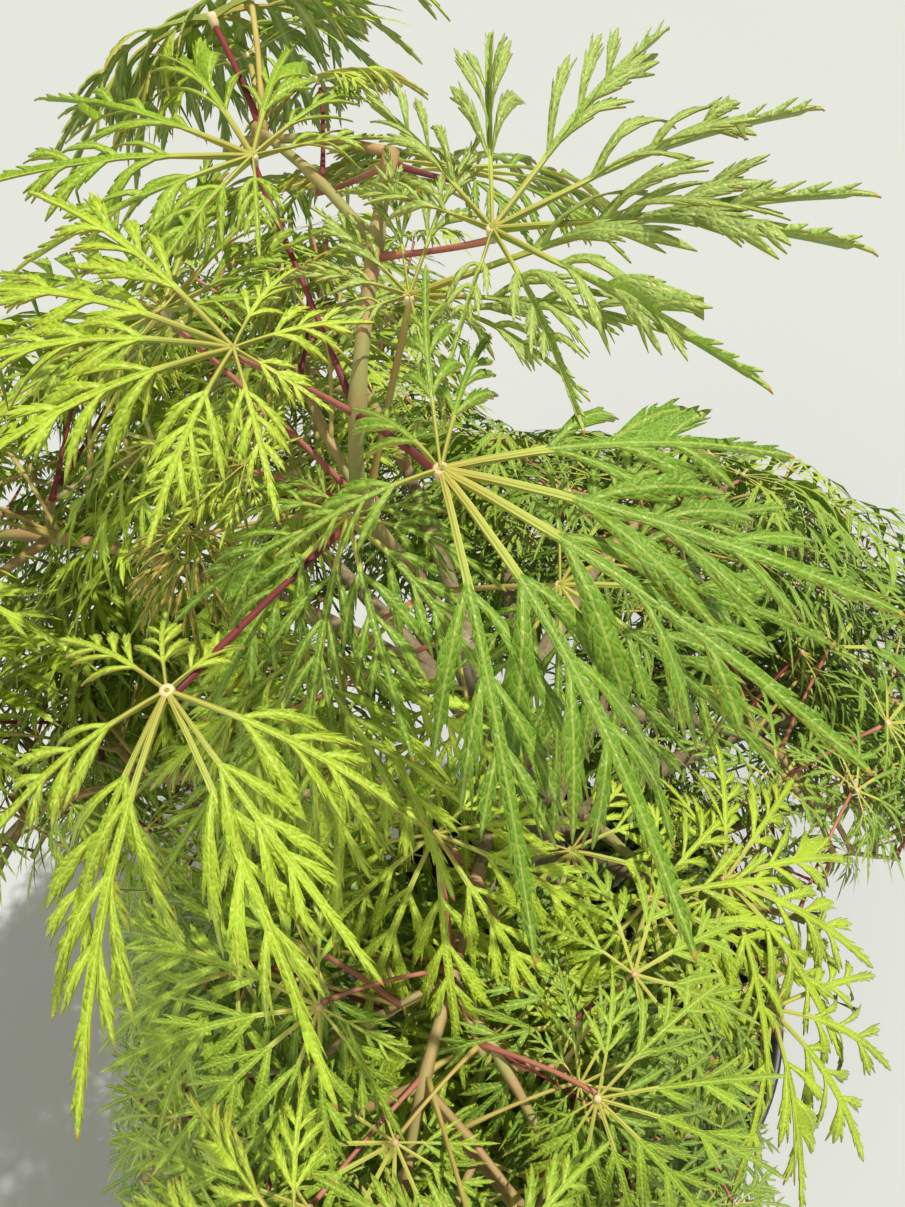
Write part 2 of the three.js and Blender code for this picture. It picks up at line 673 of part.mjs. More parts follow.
function clearOfWindows(p) {
  const pitch = (EYE_PITCH * Math.PI) / 180;
  const from = p.clone().sub(vector(EYE));
  const depth = from.y * Math.cos(pitch) - from.z * Math.sin(pitch);
  const right = from.x / depth;
  const down = -(from.y * Math.sin(pitch) + from.z * Math.cos(pitch)) / depth;
  const inside = (range, value) => value > range[0] && value < range[1];
  return !OPEN_WINDOWS.some((open) => inside(open.right, right) && inside(open.down, down));
}

function standsFree(leaf) {
  const points = leaf.lobes.flatMap((lobe) => [lobe.tip, along(leaf, lobe, WIDEST_AT)]);
  return points.concat(leaf.at).every((p) => clearOfPot(p) && clearOfWindows(p));
}

// Which leaves stand, mass by mass in rounds, so that no mass crowds out its neighbours
function growCrown() {
  const limbBars = [];
  for (let i = 0; i < TRUNK_RINGS; i++) {
    const radius = trunkRadius(i / TRUNK_RINGS, trunkLine[i].z) + TRUNK_CLEAR;
    limbBars.push(bar(trunkLine[i], trunkLine[i + 1], radius));
  }
  for (const bough of Object.values(BOUGHS)) {
    const line = boughLine(bough);
    for (let i = 0; i < BOUGH_RINGS; i++) {
      limbBars.push(bar(line[i], line[i + 1], tapered(bough.radius, BOUGH_TIP_RADIUS)(i / BOUGH_RINGS)));
    }
  }
  const grown = {};
  for (const name of Object.keys(MASSES)) {
    const twigs = growTwigs(name);
    const bars = [];
    for (const line of [twigs.stem, ...twigs.sides]) {
      for (let i = 1; i < line.length; i++) bars.push(bar(line[i - 1].at, line[i].at, STEM_RADIUS));
    }
    grown[name] = { twigs, bars, leaves: [], sites: leafSites(name, twigs) };
  }
  const shoot = [...carryOn(trunkLine).points, ...SHOOT.map(vector)];
  const shootBars = shoot.slice(1).map((p, i) => bar(shoot[i], p, STEM_RADIUS));
  const leader = { shoot, bars: shootBars, leaves: [] };
  const place = (leaf, line, joint) =>
    Object.assign(leaf, { foot: footOn(line, joint), bars: leafBars(leaf) });
  const seen = ({ at, toward, face, size, droop }) =>
    fan(vector(at), vector(toward), vector(face), size, droop, SEEN_SPREAD, SEEN_LIFT);
  for (const leaf of SHOOT_LEAVES) {
    leader.leaves.push(place(measured(vector(leaf.at), leaf.tips), shoot, leaf.node));
  }
  for (const leaf of SHOOT_FANS) leader.leaves.push(place(seen(leaf), shoot, leaf.node));
  for (const [name, leaves] of Object.entries(SEEN_FANS)) {
    const line = grown[name].twigs.stem.map((joint) => joint.at);
    for (const leaf of leaves) grown[name].leaves.push(place(seen(leaf), line, leaf.node));
  }
  grown.leader = leader;

  const clearOf = (leaf, name) => {
    const petiole = bar(leaf.foot, leaf.at, PETIOLE_RADIUS);
    const size = Math.max(...leaf.lobes.map((lobe) => lobe.tip.distanceTo(leaf.at)));
    const point = bar(leaf.at, leaf.at.clone().addScaledVector(UP, GAP), 0);
    const near = (one) => clearance(point, { ...one, side: null }) < size;
    const mine = limbBars.concat(...Object.values(grown).map((g) => g.bars)).filter(near);
    for (const one of mine) {
      if (leaf.bars.some((b) => clearance(b, one) < CLEAR)) return false;
      if (grown[name].bars.includes(one)) continue;
      if (clearance(petiole, one) < CLEAR) return false;
    }
    for (const other of Object.values(grown)) {
      for (const stood of other.leaves) {
        if (stood.at.distanceTo(leaf.at) > size + NEAR) continue;
        const stalk = bar(stood.foot, stood.at, PETIOLE_RADIUS);
        const touches = (b) => stood.bars.some((o) => clearance(b, o) < CLEAR);
        if (touches(petiole) || leaf.bars.some(touches)) return false;
        if (leaf.bars.some((b) => clearance(b, stalk) < CLEAR)) return false;
        if (stood.foot.distanceTo(leaf.foot) > SAME_FOOT && clearance(petiole, stalk) < CLEAR) return false;
      }
    }
    return true;
  };

  const rounds = Math.max(...Object.values(grown).map((g) => (g.sites ? g.sites.length : 0)));
  for (let order = 0; order < rounds; order++) {
    for (const name of Object.keys(MASSES)) {
      const mass = grown[name];
      if (order >= mass.sites.length || mass.leaves.length >= MASSES[name].leaves) continue;
      for (let attempt = 0; attempt < TRIES; attempt++) {
        const leaf = tryLeaf(name, mass.twigs, mass.sites[order], order, attempt);
        leaf.bars = leafBars(leaf);
        if (!standsFree(leaf) || !clearOf(leaf, name)) continue;
        mass.leaves.push(leaf);
        break;
      }
    }
  }
  return grown;
}

function massSolid(grown) {
  const stem = grown.shoot || grown.twigs.stem.map((joint) => joint.at);
  let made = limb(stem, tapered(STEM_RADIUS, TWIG_RADIUS), 3);
  if (grown.twigs) {
    grown.twigs.sides.forEach((twig, i) => {
      const mine = grown.leaves.filter((leaf) => leaf.site && leaf.site.twig === i);
      const joints = mine.map((leaf) => leaf.site.joint);
      if (!joints.length) return;
      const line = twig.slice(0, Math.max(...joints) + 1).map((joint) => joint.at);
      made = made.add(limb(line, tapered(TWIG_RADIUS, TWIG_TIP_RADIUS), 3));
    });
  }
  for (const leaf of grown.leaves) made = made.add(leafSolid(leaf));
  return made;
}

const black = new THREE.MeshStandardMaterial({ color: 0x1d1e20, roughness: 0.6 });
const earth = new THREE.MeshStandardMaterial({ color: 0x4a3524, roughness: 1 });
const bark = new THREE.MeshStandardMaterial({ color: 0x7d6f5e, roughness: 0.9 });
const young = new THREE.MeshStandardMaterial({ color: 0x8a6a4a, roughness: 0.8 });
const green = new THREE.MeshStandardMaterial({ color: 0x86b53a, roughness: 0.6, side: THREE.DoubleSide });

const group = new THREE.Group();
group.name = "potted_full_moon_maple";
group.add(node("pot", makePot(), black));
group.add(node("soil", makeSoil(), earth));
group.add(node("trunk", makeTrunk(0), bark));

const aroundTrunk = makeTrunk(GAP + 0.1);
for (const [name, bough] of Object.entries(BOUGHS)) {
  const grown = limb(boughLine(bough), tapered(bough.radius, BOUGH_TIP_RADIUS), BOUGH_SIDES);
  group.add(node(name + "_bough", grown.subtract(aroundTrunk), young));
}

for (const [name, grown] of Object.entries(growCrown())) {
  group.add(node(name + "_foliage", massSolid(grown), green));
}

export default group;
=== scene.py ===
"""Potted full moon maple: a weeping tree with deeply cut leaves in a black nursery pot.

The tree grows by the same seeded rule as the part's solids, carried on to finer twigs and leaves.
"""

import functools
import json
import math

import bpy
import numpy as np
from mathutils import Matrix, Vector, noise
from mathutils.geometry import delaunay_2d_cdt

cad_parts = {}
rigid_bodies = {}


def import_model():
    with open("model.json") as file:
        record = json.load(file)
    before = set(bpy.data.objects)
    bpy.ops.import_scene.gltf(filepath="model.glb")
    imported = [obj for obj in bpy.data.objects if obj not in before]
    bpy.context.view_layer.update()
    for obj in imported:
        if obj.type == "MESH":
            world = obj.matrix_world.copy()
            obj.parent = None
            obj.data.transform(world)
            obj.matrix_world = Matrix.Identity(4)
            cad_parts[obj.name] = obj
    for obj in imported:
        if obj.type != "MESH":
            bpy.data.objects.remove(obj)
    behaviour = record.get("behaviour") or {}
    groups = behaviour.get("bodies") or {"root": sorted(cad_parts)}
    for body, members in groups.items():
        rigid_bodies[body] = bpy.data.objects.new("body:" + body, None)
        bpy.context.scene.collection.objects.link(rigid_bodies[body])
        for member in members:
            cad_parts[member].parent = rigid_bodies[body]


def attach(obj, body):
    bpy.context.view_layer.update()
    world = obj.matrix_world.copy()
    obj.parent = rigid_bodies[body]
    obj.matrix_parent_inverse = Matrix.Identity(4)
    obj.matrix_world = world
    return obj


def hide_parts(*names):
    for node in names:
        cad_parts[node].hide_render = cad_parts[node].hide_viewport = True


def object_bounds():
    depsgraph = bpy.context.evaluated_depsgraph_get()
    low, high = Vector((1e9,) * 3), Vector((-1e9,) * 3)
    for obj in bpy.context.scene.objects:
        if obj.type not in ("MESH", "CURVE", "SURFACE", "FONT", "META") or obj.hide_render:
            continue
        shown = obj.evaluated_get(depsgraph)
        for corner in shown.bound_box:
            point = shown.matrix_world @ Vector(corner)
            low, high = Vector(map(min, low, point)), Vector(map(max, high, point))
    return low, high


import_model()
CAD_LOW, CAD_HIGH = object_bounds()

bl_info = {
    "name": "Potted full moon maple",
    "version": (1, 0, 0),
    "blender": (4, 5, 0),
    "location": "View3D > Sidebar > Maple",
    "description": "Builds a weeping maple with cut leaves in a nursery pot, piece by piece",
    "category": "Add Mesh",
}

MM = 0.001
PLACE_MAP = "Place"
UP = np.array((0.0, 0.0, 1.0))
# The seeded generator's largest number and its stride
WORD = 0xFFFFFFFF
STRIDE = 0x6D2B79F5

# The pot and the soil, in millimetres
POT_HEIGHT = 270
POT_BASE = 118
POT_TOP_RADIUS = 144
POT_WALL = 2.4
POT_FLOOR = 3
POT_SIDES = 128
FOOT_CHAMFER = 5
FOOT_ROUND = 4
FOOT_RECESS = 2.4
FOOT_RECESS_RADII = (60, 64)
FLOOR_ROUND = 6
FLOOR_LEVEL = POT_FLOOR + FLOOR_ROUND
WALL_LEVELS = (60, 110, 160, 205)
LIP_LEVELS = (262, 247, 232)
RIM_RADIUS = 150
RIM_HEIGHT = 24
RIM_LIP = 3.2
DRAINS = 6
DRAIN_RADIUS = 5.5
DRAIN_LEVEL = 11
DRAIN_DEPTH = 14
DRAIN_SIDES = 24
SOIL_LEVEL = 246
SOIL_EDGE = 237
SOIL_MOUND = 88
SOIL_MOUND_DROP = 4
SOIL_FLAT = 38
SOIL_RINGS = 34
SOIL_SIDES = 120
CHIP_SHAPE_SEED = 3
CHIP_SEED = 7
CHIP_SIZES = (0.35, 1.35)
# The bed that the chips lie on, as a share of the soil's size
CHIP_BED = 0.985

# The tree's own numbers, in millimetres, the same as in the part's source
TRUNK_PATH = (
    (0, 0, 228), (-1, 1, 262), (-6, 5, 305), (-14, 4, 370),
    (-20, -4, 450), (-38, -14, 540), (-58, -24, 620), (-74, -31, 690),
)
TRUNK_BASE_RADIUS = 13
TRUNK_TIP_RADIUS = 4.5
TRUNK_RINGS = 16
TRUNK_SAMPLES = 200
TRUNK_CLEAR = 1.5
GRAFT_LEVEL = 312
GRAFT_SWELL = 3
GRAFT_SPREAD = 16
AXIS_LEVELS = (260, 680)
GAP = 0.3

# Each bough: the height it leaves the trunk at, its tip, the lift of its arch and its root radius
BOUGHS = {
    "upper_left": (640, (-165, -8, 700), 18, 4.2),
    "upper_back": (628, (-92, 54, 684), 16, 4.2),
    "upper_back_right": (616, (-8, 60, 634), 24, 4.4),
    "upper_right": (594, (24, -8, 606), 36, 4.6),
    "upper_front": (590, (-66, -80, 632), 14, 4.2),
    "inner_front": (548, (-20, -46, 592), 14, 4.2),
    "middle_left": (520, (-160, -22, 590), 24, 5.2),
    "middle_front_left": (500, (-106, -96, 552), 24, 5),
    "middle_front": (478, (-34, -122, 506), 30, 5),
    "middle_front_right": (478, (14, -40, 520), 22, 4.8),
    "middle_right": (508, (116, 44, 540), 40, 5.6),
    "middle_back_right": (526, (52, 128, 552), 36, 5.4),
    "middle_back": (544, (-52, 142, 590), 26, 5.2),
    "middle_back_left": (562, (-146, 88, 618), 24, 5.2),
    "low_left": (396, (-156, 40, 456), 34, 6),
    "low_back_left": (420, (-104, 150, 480), 34, 6),
    "low_back": (404, (30, 166, 442), 38, 6.2),
    "low_right": (384, (140, 52, 418), 42, 6.2),
    "low_front_left": (372, (-124, -84, 436), 34, 6),
    "low_front": (360, (-24, -104, 420), 36, 6),
}
BOUGH_RINGS = 5
BOUGH_TIP_RADIUS = 2.3
ARCH_AT = 0.55

# Each mass: its seed, its stem's nodes, how fast that sags, and its broad leaves
MASSES = {
    "upper_left": (11, 4, 0.3, 6), "upper_back": (12, 4, 0.3, 6), "upper_back_right": (29, 3, 0.3, 5),
    "upper_right": (46, 4, 0.34, 6), "upper_front": (14, 3, 0.34, 5), "inner_front": (42, 3, 0.6, 5),
    "middle_left": (15, 4, 0.42, 6), "middle_front_left": (16, 4, 0.5, 6), "middle_front": (17, 4, 0.5, 6),
    "middle_front_right": (59, 3, 0.75, 6), "middle_right": (19, 4, 0.4, 6),
    "middle_back_right": (20, 4, 0.4, 6), "middle_back": (21, 4, 0.4, 6), "middle_back_left": (22, 4, 0.4, 6),
    "low_left": (23, 4, 0.5, 6), "low_back_left": (24, 4, 0.5, 6), "low_back": (25, 4, 0.46, 6),
    "low_right": (26, 4, 0.46, 6), "low_front_left": (27, 4, 0.5, 6), "low_front": (28, 4, 0.5, 6),
}
INTERNODE = 33
SIDE_INTERNODE = 27
STEM_LEAD = 6
STEM_RADIUS = 2.1
PETIOLE_RADIUS = 1.3
LEAF_HALF_THICKNESS = 1.6
LOBES = 9
FEW_LOBES_SHARE = 0.75
FEW_LOBES_SPREAD = 1.2
LOBE_SHARE = (1, 0.97, 0.86, 0.7, 0.48)
LOBE_HALF_WIDTH = 0.13
WIDEST_AT = 0.6
CROWDING = 0.42
SINK = 3
MEASURED_SAG = 0.28
TRIES = 9
CLEAR = 1.2
NEAR = 100
SAME_FOOT = 4
SEED_STEP = 7919
ORDER_STEP = 131
TRY_STEP = 17

# Where the crown stays open: from the eye, looking down at a pitch, slopes to the right and downwards
EYE = (-75, -205, 915)
EYE_PITCH = math.radians(50)
OPEN_WINDOWS = (((0.38, 9), (0.33, 9)), ((-9, -0.4), (0.36, 9)), ((0.05, 9), (-9, -0.19)))
POT_REACH = 160
POT_TOP = 278
LOWEST_LEAF = 200

# The leader's shoot and its front leaves: junction, shoot node, and each lobe's tip from the junction
SHOOT = ((-86, -37, 728), (-97, -44, 762), (-96, -43, 790), (-92, -16, 813), (-89, 6, 823))
SHOOT_LEAVES = (
    ((-77, -88, 811), 4, ((-28, -13, -8), (16, -66, -52), (41, -68, -44), (72, -42, -30), (82, -16, -20),
                          (68, 17, -12), (10, 48, -5), (-3, 42, 14), (-18, 28, -9))),
    ((-127, -111, 778), 3, ((-34, -22, -19), (-24, -44, -46), (-12, -65, -41), (32, -60, -42), (40, -43, -29),
                            (47, -16, -22), (9, 23, -12), (-8, 27, -10), (-28, 19, -9))),
    ((-115, -63, 818), 4, ((-47, -22, -11), (-14, -32, -20), (9, -27, -18), (18, -6, -10), (25, 13, -3),
                           (9, 26, 1), (-40, 27, 16), (-56, 12, 4), (-56, -5, -4))),
    ((-84, -34, 811), 3, ((-28, 3, 2), (-19, -14, -3), (8, -30, -11), (37, -21, -11), (60, -12, -4),
                          (92, 2, 20), (16, 37, 17), (-6, 36, 15), (-22, 22, 8))),
)
# Fans by junction, shoot node, heading, face, size and droop
SHOOT_FANS = (
    ((-139, -27, 803), 3, (-30, 50, 12), (-0.25, -0.1, 1), 62, 0.1),
    ((-119, -1, 825), 4, (-60, 34, 6), (0, -0.15, 1), 66, 0.2),
    ((-67, -31, 824), 5, (72, 30, 14), (-0.1, -0.25, 1), 76, 0.15),
    ((-98, -62, 774), 2, (-12, -50, -14), (0, -0.35, 1), 58, 0.6),
    ((-122, -61, 697), 1, (-44, -34, -10), (-0.3, -0.3, 1), 72, 0.6),
    ((-74, 34, 806), 6, (22, 60, -4), (0.1, 0.2, 1), 74, 0.4),
    ((-112, 40, 800), 6, (-40, 60, -4), (-0.1, 0.25, 1), 74, 0.45),
)
SEEN_FANS = {
    "upper_front": (((-80, -84, 664), 2, (10, -70, -18), (-0.05, -0.4, 1), 76, 0.5),),
    "middle_front_left": (((-137, -124, 520), 2, (-16, -70, -24), (-0.2, -0.4, 1), 76, 0.5),),
}
# Leaves of the finer growth that the photograph shows hanging below the nearest ones
HANGING_FANS = {
    "leader": (
        ((-137, -54, 761), ("twig", -1, 3), (-14, -20, -20), (-0.2, -0.5, 1), 36, 1.3),
        ((-122, -48, 777), ("twig", -1, 3), (-30, 10, 4), (-0.1, -0.4, 1), 30, 0.2),
        ((-70, -50, 680), ("twig", -1, 1), (0, -60, -30), (0, -0.5, 1), 64, 1.0),
    ),
    "inner_front": (
        ((-36, -75, 633), ("twig", -1, 1), (20, -60, -20), (0.05, -0.5, 1), 88, 0.6),
        ((-12, -91, 632), ("twig", -1, 2), (50, -50, -20), (0.2, -0.5, 1), 86, 0.55),
        ((15, -82, 626), ("twig", -1, 3), (70, -14, -10), (0.4, -0.3, 1), 86, 0.5),
        ((30, -115, 599), ("twig", -1, 4), (60, -50, -30), (0.4, -0.5, 1), 82, 0.6),
        ((-26, -115, 599), ("twig", 1, 2), (-10, -70, -20), (0, -0.6, 1), 84, 0.6),
    ),
    "upper_front": (
        ((-54, -112, 621), ("twig", -1, 1), (6, -70, -20), (0, -0.5, 1), 84, 0.55),
        ((-94, -48, 616), ("twig", -1, 0), (-30, -60, -20), (-0.2, -0.4, 1), 80, 0.6),
        ((-96, -108, 628), ("twig", -1, 2), (-8, -70, -24), (-0.1, -0.5, 1), 88, 0.6),
        ((-62, -130, 622), ("twig", -1, 3), (10, -70, -24), (0.1, -0.5, 1), 86, 0.6),
        ((-116, -44, 634), ("twig", -1, 0), (-60, -30, -20), (-0.4, -0.2, 1), 76, 0.6),
    ),
}
SEEN_SPREAD = 0.56
SEEN_LIFT = 0.12

# The finer growth that only this file has
REACH_MARGIN = 24.0
CROWN_MARGIN = 3.0
TWIGLET_INTERNODE = 19
# Each turn's size of leaf and how often it tries at a site
FINE_TURNS = ((1.08, 5), (0.92, 4), (0.78, 4), (0.62, 4), (0.5, 6))
FINE_FEW_SHARE = 0.45
FINE_GAP = 3.0
NEAR_FINE = 70
NEAR_TWIG = 35
FINE_CLEAR = 0.4
SAMPLES = np.array((0.25, 0.4, 0.55, 0.7, 0.85, 1.0))
PETIOLE_SAMPLES = np.array((0.4, 0.6, 0.8))
FINE_SEED = 5003
TURN_STEP = 3571
LEADER_SEED = 61
LEAVES_AT_SITE = 2
NEAREST_FINE_LEAF = 205

# The bark's and the twigs' meshes, in millimetres
TRUNK_FOOT = 246.3
FLARE_RADIUS = 11
FLARE_FALL = 17
FLARE_RIDGES = 5
GRAFT_FURROWS = 20
TRUNK_CAP = 1.5
BOUGH_STEPS = 40
BOUGH_SIDES = 14
BOUGH_SWELL = 0.3
BOUGH_SWELL_STEPS = 6
BOUGH_RELIEF_SCALE = 90.0
STEM_SINK = 5
STEM_ENDS = (2.4, 1.6)
# Side twigs and twiglets: their key in a mass, and their radii at both ends
TWIG_KINDS = (("twig", "sides", 1.75, 1.3), ("twiglet", "twiglets", 1.3, 1))
TWIG_RELIEF = 0.25
TWIG_RELIEF_SCALE = 600.0
PETIOLE_RADII = (1.5, 1.1, 0.9, 0.83, 0.8, 0.8, 0.82, 0.85, 0.9, 0.95)
PETIOLE_DROP = 2.4
PETIOLE_BOW = 5
LEAF_SEED = 300
TWIG_SEED = 700

# A lobe's outline, in shares of its length: half widths of its stalk and strip
STRIP = (
    (0.0, 0.009), (0.1, 0.0095), (0.24, 0.011), (0.31, 0.014), (0.42, 0.017), (0.55, 0.018), (0.7, 0.019),
)
TIP_FROM = 0.98
STRIP_PICKS = {"fine": range(len(STRIP)), "plain": (0, 2, 4, 6), "far": (0, 4)}
STRIP_ENDS = {
    "fine": ((0.85, 0.019), (0.93, 0.014), (TIP_FROM, 0.008)),
    "plain": ((0.88, 0.016),),
    "far": ((0.88, 0.016),),
}
STRIP_TEETH = {"fine": (0.77, 0.84, 0.91), "plain": (0.8,), "far": ()}
STALK_END = 0.27
# Lobules in pairs: start, length, angle forward in degrees, half width, teeth a side
LOBULES = {
    "fine": ((0.28, 0.37, 37, 0.0205, 3), (0.44, 0.3, 36, 0.0185, 3), (0.59, 0.21, 35, 0.016, 2)),
    "plain": ((0.28, 0.38, 37, 0.022, 1), (0.46, 0.29, 36, 0.02, 1), (0.62, 0.18, 36, 0.016, 0)),
    "far": ((0.28, 0.41, 36, 0.027, 0), (0.48, 0.3, 36, 0.025, 0)),
}
# A lobule's half width along its length, both as shares
LOBULE_SHAPES = {
    "fine": ((0, 0.42), (0.16, 0.6), (0.34, 0.88), (0.55, 1), (0.75, 0.8), (0.9, 0.44)),
    "plain": ((0, 0.5), (0.3, 0.9), (0.55, 1), (0.8, 0.62)),
    "far": ((0, 0.5), (0.5, 1)),
}
# How far a lobule's tip bends forward, in shares of its length
LOBULE_BEND = 0.09
TOOTH_REACH = 0.05
TOOTH_RISE = 0.0115
RIDGE_HALF_WIDTH = 0.0045
RIDGE_HEIGHT = 0.0035
BLADE_THICKNESS = 0.42
STALK_THICKNESS = 1.5
WEAVE_EPSILON = 1e-5
PATTERNS = 5
# The hub's profile: radius and height
HUB_PROFILE = ((0.5, 0.7), (1.05, 0.95), (1.5, 0.45), (1.45, -0.5), (1.2, -1.6), (0.98, -2.9))
HUB_SIDES = 10
FAR_HUB_SIDES = 6
FULL_HUB_LEAF = 80
# Leaves nearer to the camera than these depths are cut finely or plainly
FINE_LEAF_DEPTH = 228
PLAIN_LEAF_DEPTH = 470

# Places of a leaf piece's materials in its slots. The first five tones are steps of painted light and shade,
# from sunlit to shade; silver and withered are leaves' own colours
TONES = ("sunlit", "fresh", "green", "deep", "shade", "silver", "withered")
DEALT_TONES = 5
UNDER_SLOT = len(TONES)
RIB_SLOT = UNDER_SLOT + 1
RIM_SLOT = UNDER_SLOT + 2
HUB_SLOT = UNDER_SLOT + 3
TIP_SLOT = UNDER_SLOT + 4
TONE_SEED = 907
# The crown's centre and span, from which each leaf's painted light and shade is dealt
CROWN_CENTRE = np.array((-40.0, -10.0, 560.0))
CROWN_SPAN = np.array((190.0, 190.0, 300.0))
STALK_KINDS = ("coral", "tan", "red", "tan")
# The tone, the fold and the stalk of each of the leader's leaves in front; each tone gives the leaf's own
# colour together with the painted light and shade on it
LEADER_LOOKS = (
    ("green", 0.0, "red"), ("sunlit", 0.15, "red"), ("sunlit", 0.1, "coral"), ("silver", 0.6, "tan"),
    ("fresh", 0.1, "coral"), ("fresh", 0.3, "red"), ("silver", 0.8, "coral"), ("green", 0.1, "tan"),
    ("fresh", 0.1, "coral"), ("green", 0.0, "red"), ("green", 0.0, "coral"),
    ("withered", 1.0, "tan"), ("sunlit", 0.4, "coral"), ("fresh", 0.0, "tan"),
)
BLACK = (0.0, 0.0, 0.0)
PALE_VEIN = (0.77, 0.73, 0.22)

# The camera and the light: strength, spread and turn in degrees, and colour
CAMERA_LENS = 27.05
SENSOR_WIDTH = 36
FLOOR_SIZE = 80
KEY_LIGHT = (4.0, 0.8, (-3, 23, 0), "fffaee")
FILL_LIGHT = (1.3, 30, (38, -30, 0), "fff8e0")
SKY_STRENGTH = 0.42
SKY_COLOUR = "e8e7d2"


def vec(p):
    return np.array(p, float)


def length_of(v):
    return math.sqrt(float(v @ v))


def unit(v):
    length = length_of(v)
    return v / length if length else v


def dots(a, b):
    return np.einsum("...k,...k->...", a, b)


def seeded(seed):
    """A small seeded generator, the same as in the part's source."""
    state = seed & WORD

    def draw():
        nonlocal state
        state = (state + STRIDE) & WORD
        t = ((state ^ (state >> 15)) * (1 | state)) & WORD
        t = ((t + ((t ^ (t >> 7)) * (61 | t) & WORD)) & WORD) ^ t
        return (t ^ (t >> 14)) / (WORD + 1)

    return draw


def wobble(draw):
    """A small turn in any direction."""
    return np.array((draw() - 0.5, draw() - 0.5, draw() - 0.5))


def drawn(span, draw):
    """A number drawn from a span of (least, width)."""
    return span[0] + span[1] * draw()


def centripetal(points, t):
    """A point of the centripetal Catmull-Rom curve through points."""
    last = len(points) - 1
    place = last * t
    i = int(place)
    weight = place - i
    if weight == 0 and i == last:
        i, weight = last - 1, 1.0
    p1, p2 = points[i], points[i + 1]
    p0 = points[i - 1] if i > 0 else 2 * points[0] - points[1]
    p3 = points[i + 2] if i + 2 <= last else 2 * points[last] - points[last - 1]
    d0, d1, d2 = (float((b - a) @ (b - a)) ** 0.25 for a, b in ((p0, p1), (p1, p2), (p2, p3)))
    start = ((p1 - p0) / d0 - (p2 - p0) / (d0 + d1) + (p2 - p1) / d1) * d1
    stop = ((p2 - p1) / d1 - (p3 - p1) / (d1 + d2) + (p3 - p2) / d2) * d1
    w2, w3 = weight**2, weight**3
    return p1 + start * weight + (3 * (p2 - p1) - 2 * start - stop) * w2 + (2 * (p1 - p2) + start + stop) * w3


TRUNK_POINTS = [vec(p) for p in TRUNK_PATH]


def trunk_line(rings):
    """Points evenly spaced along the trunk's axis."""
    fine = np.array([centripetal(TRUNK_POINTS, i / TRUNK_SAMPLES) for i in range(TRUNK_SAMPLES + 1)])
    steps = np.concatenate(([0], np.cumsum(np.linalg.norm(np.diff(fine, axis=0), axis=1))))
    places = np.linspace(0, 1, TRUNK_SAMPLES + 1)
    at = np.interp(np.linspace(0, steps[-1], rings + 1), steps, places)
    return [centripetal(TRUNK_POINTS, min(t, 1.0)) for t in at]


def trunk_radius(u, z):
    taper = TRUNK_BASE_RADIUS + (TRUNK_TIP_RADIUS - TRUNK_BASE_RADIUS) * u
    return taper + GRAFT_SWELL * math.exp(-(((z - GRAFT_LEVEL) / GRAFT_SPREAD) ** 2))


@functools.lru_cache(maxsize=None)
def trunk_at(z):
    """The trunk's axis at a height."""
    low, high = 0.0, 1.0
    for _ in range(40):
        middle = (low + high) / 2
        if centripetal(TRUNK_POINTS, middle)[2] < z:
            low = middle
        else:
            high = middle
    return centripetal(TRUNK_POINTS, low)


def bough_line(name, rings=BOUGH_RINGS):
    height, tip, lift, _ = BOUGHS[name]
    root, end = trunk_at(height), vec(tip)
    arch = root + (end - root) * ARCH_AT + UP * lift
    steps = (i / rings for i in range(rings + 1))
    return [root * (1 - t) ** 2 + arch * 2 * t * (1 - t) + end * t * t for t in steps]


def carry_on(line):
    """Two points in line with a limb's end and just clear of it, and their direction."""
    direction = unit(line[-1] - line[-2])
    start = line[-1] + direction * GAP
    return direction, [start, start + direction * STEM_LEAD]


def outward_from(p):
    axis = trunk_at(float(min(AXIS_LEVELS[1], max(AXIS_LEVELS[0], p[2]))))
    return unit(np.array((p[0] - axis[0], p[1] - axis[1], 0.0)))


def across_of(direction):
    return unit(np.cross(direction, UP))


def grow_twigs(name):
    """A mass's stem and side twigs, each a list of (place, direction)."""
    seed, nodes, sag, _ = MASSES[name]
    draw = seeded(seed)
    direction, points = carry_on(bough_line(name))
    at = points[1]
    stem = [(p, direction) for p in points]
    for i in range(nodes):
        direction = direction - UP * sag * (0.6 + 0.3 * i)
        direction = unit(direction + outward_from(at) * 0.12 + wobble(draw) * 0.22)
        at = at + direction * INTERNODE * drawn((0.88, 0.24), draw)
        stem.append((at, direction))
    sides = []
    for i in range(1, nodes):
        for hand in (-1, 1):
            start, ahead = stem[i + 1]
            way = across_of(ahead) * hand * 0.85 + ahead * 0.62
            way = way + UP * 0.18 * (draw() - 0.35)
            way = unit(way + wobble(draw) * 0.25)
            twig = [(start, way)]
            for k in range(2):
                way = way - UP * (0.16 + 0.14 * k)
                way = unit(way + wobble(draw) * 0.16)
                twig.append((twig[-1][0] + way * SIDE_INTERNODE * drawn((0.85, 0.3), draw), way))
            sides.append(twig)
    return stem, sides


def leaf_sites(stem, sides):
    """Where leaves may stand: (twig or -1 for the stem, joint, hand), the outer places first."""
    last = len(stem) - 1
    back = range(len(sides) - 1, -1, -1)
    sites = [(-1, last, -1), (-1, last, 1)]
    sites += [(i, 2, 1 if i % 2 else -1) for i in back]
    sites += [(-1, i, hand) for i in range(last - 1, 1, -1) for hand in (-1, 1)]
    sites += [(i, 2, -1 if i % 2 else 1) for i in back]
    sites += [(i, 1, hand) for i in back for hand in (1, -1)]
    return sites


def foot_on(line, joint):
    """A petiole's foot: inside the twig, just short of its joint."""
    way = unit(line[max(1, joint)] - line[max(0, joint - 1)])
    return line[joint] + way * (-SINK if joint else SINK)


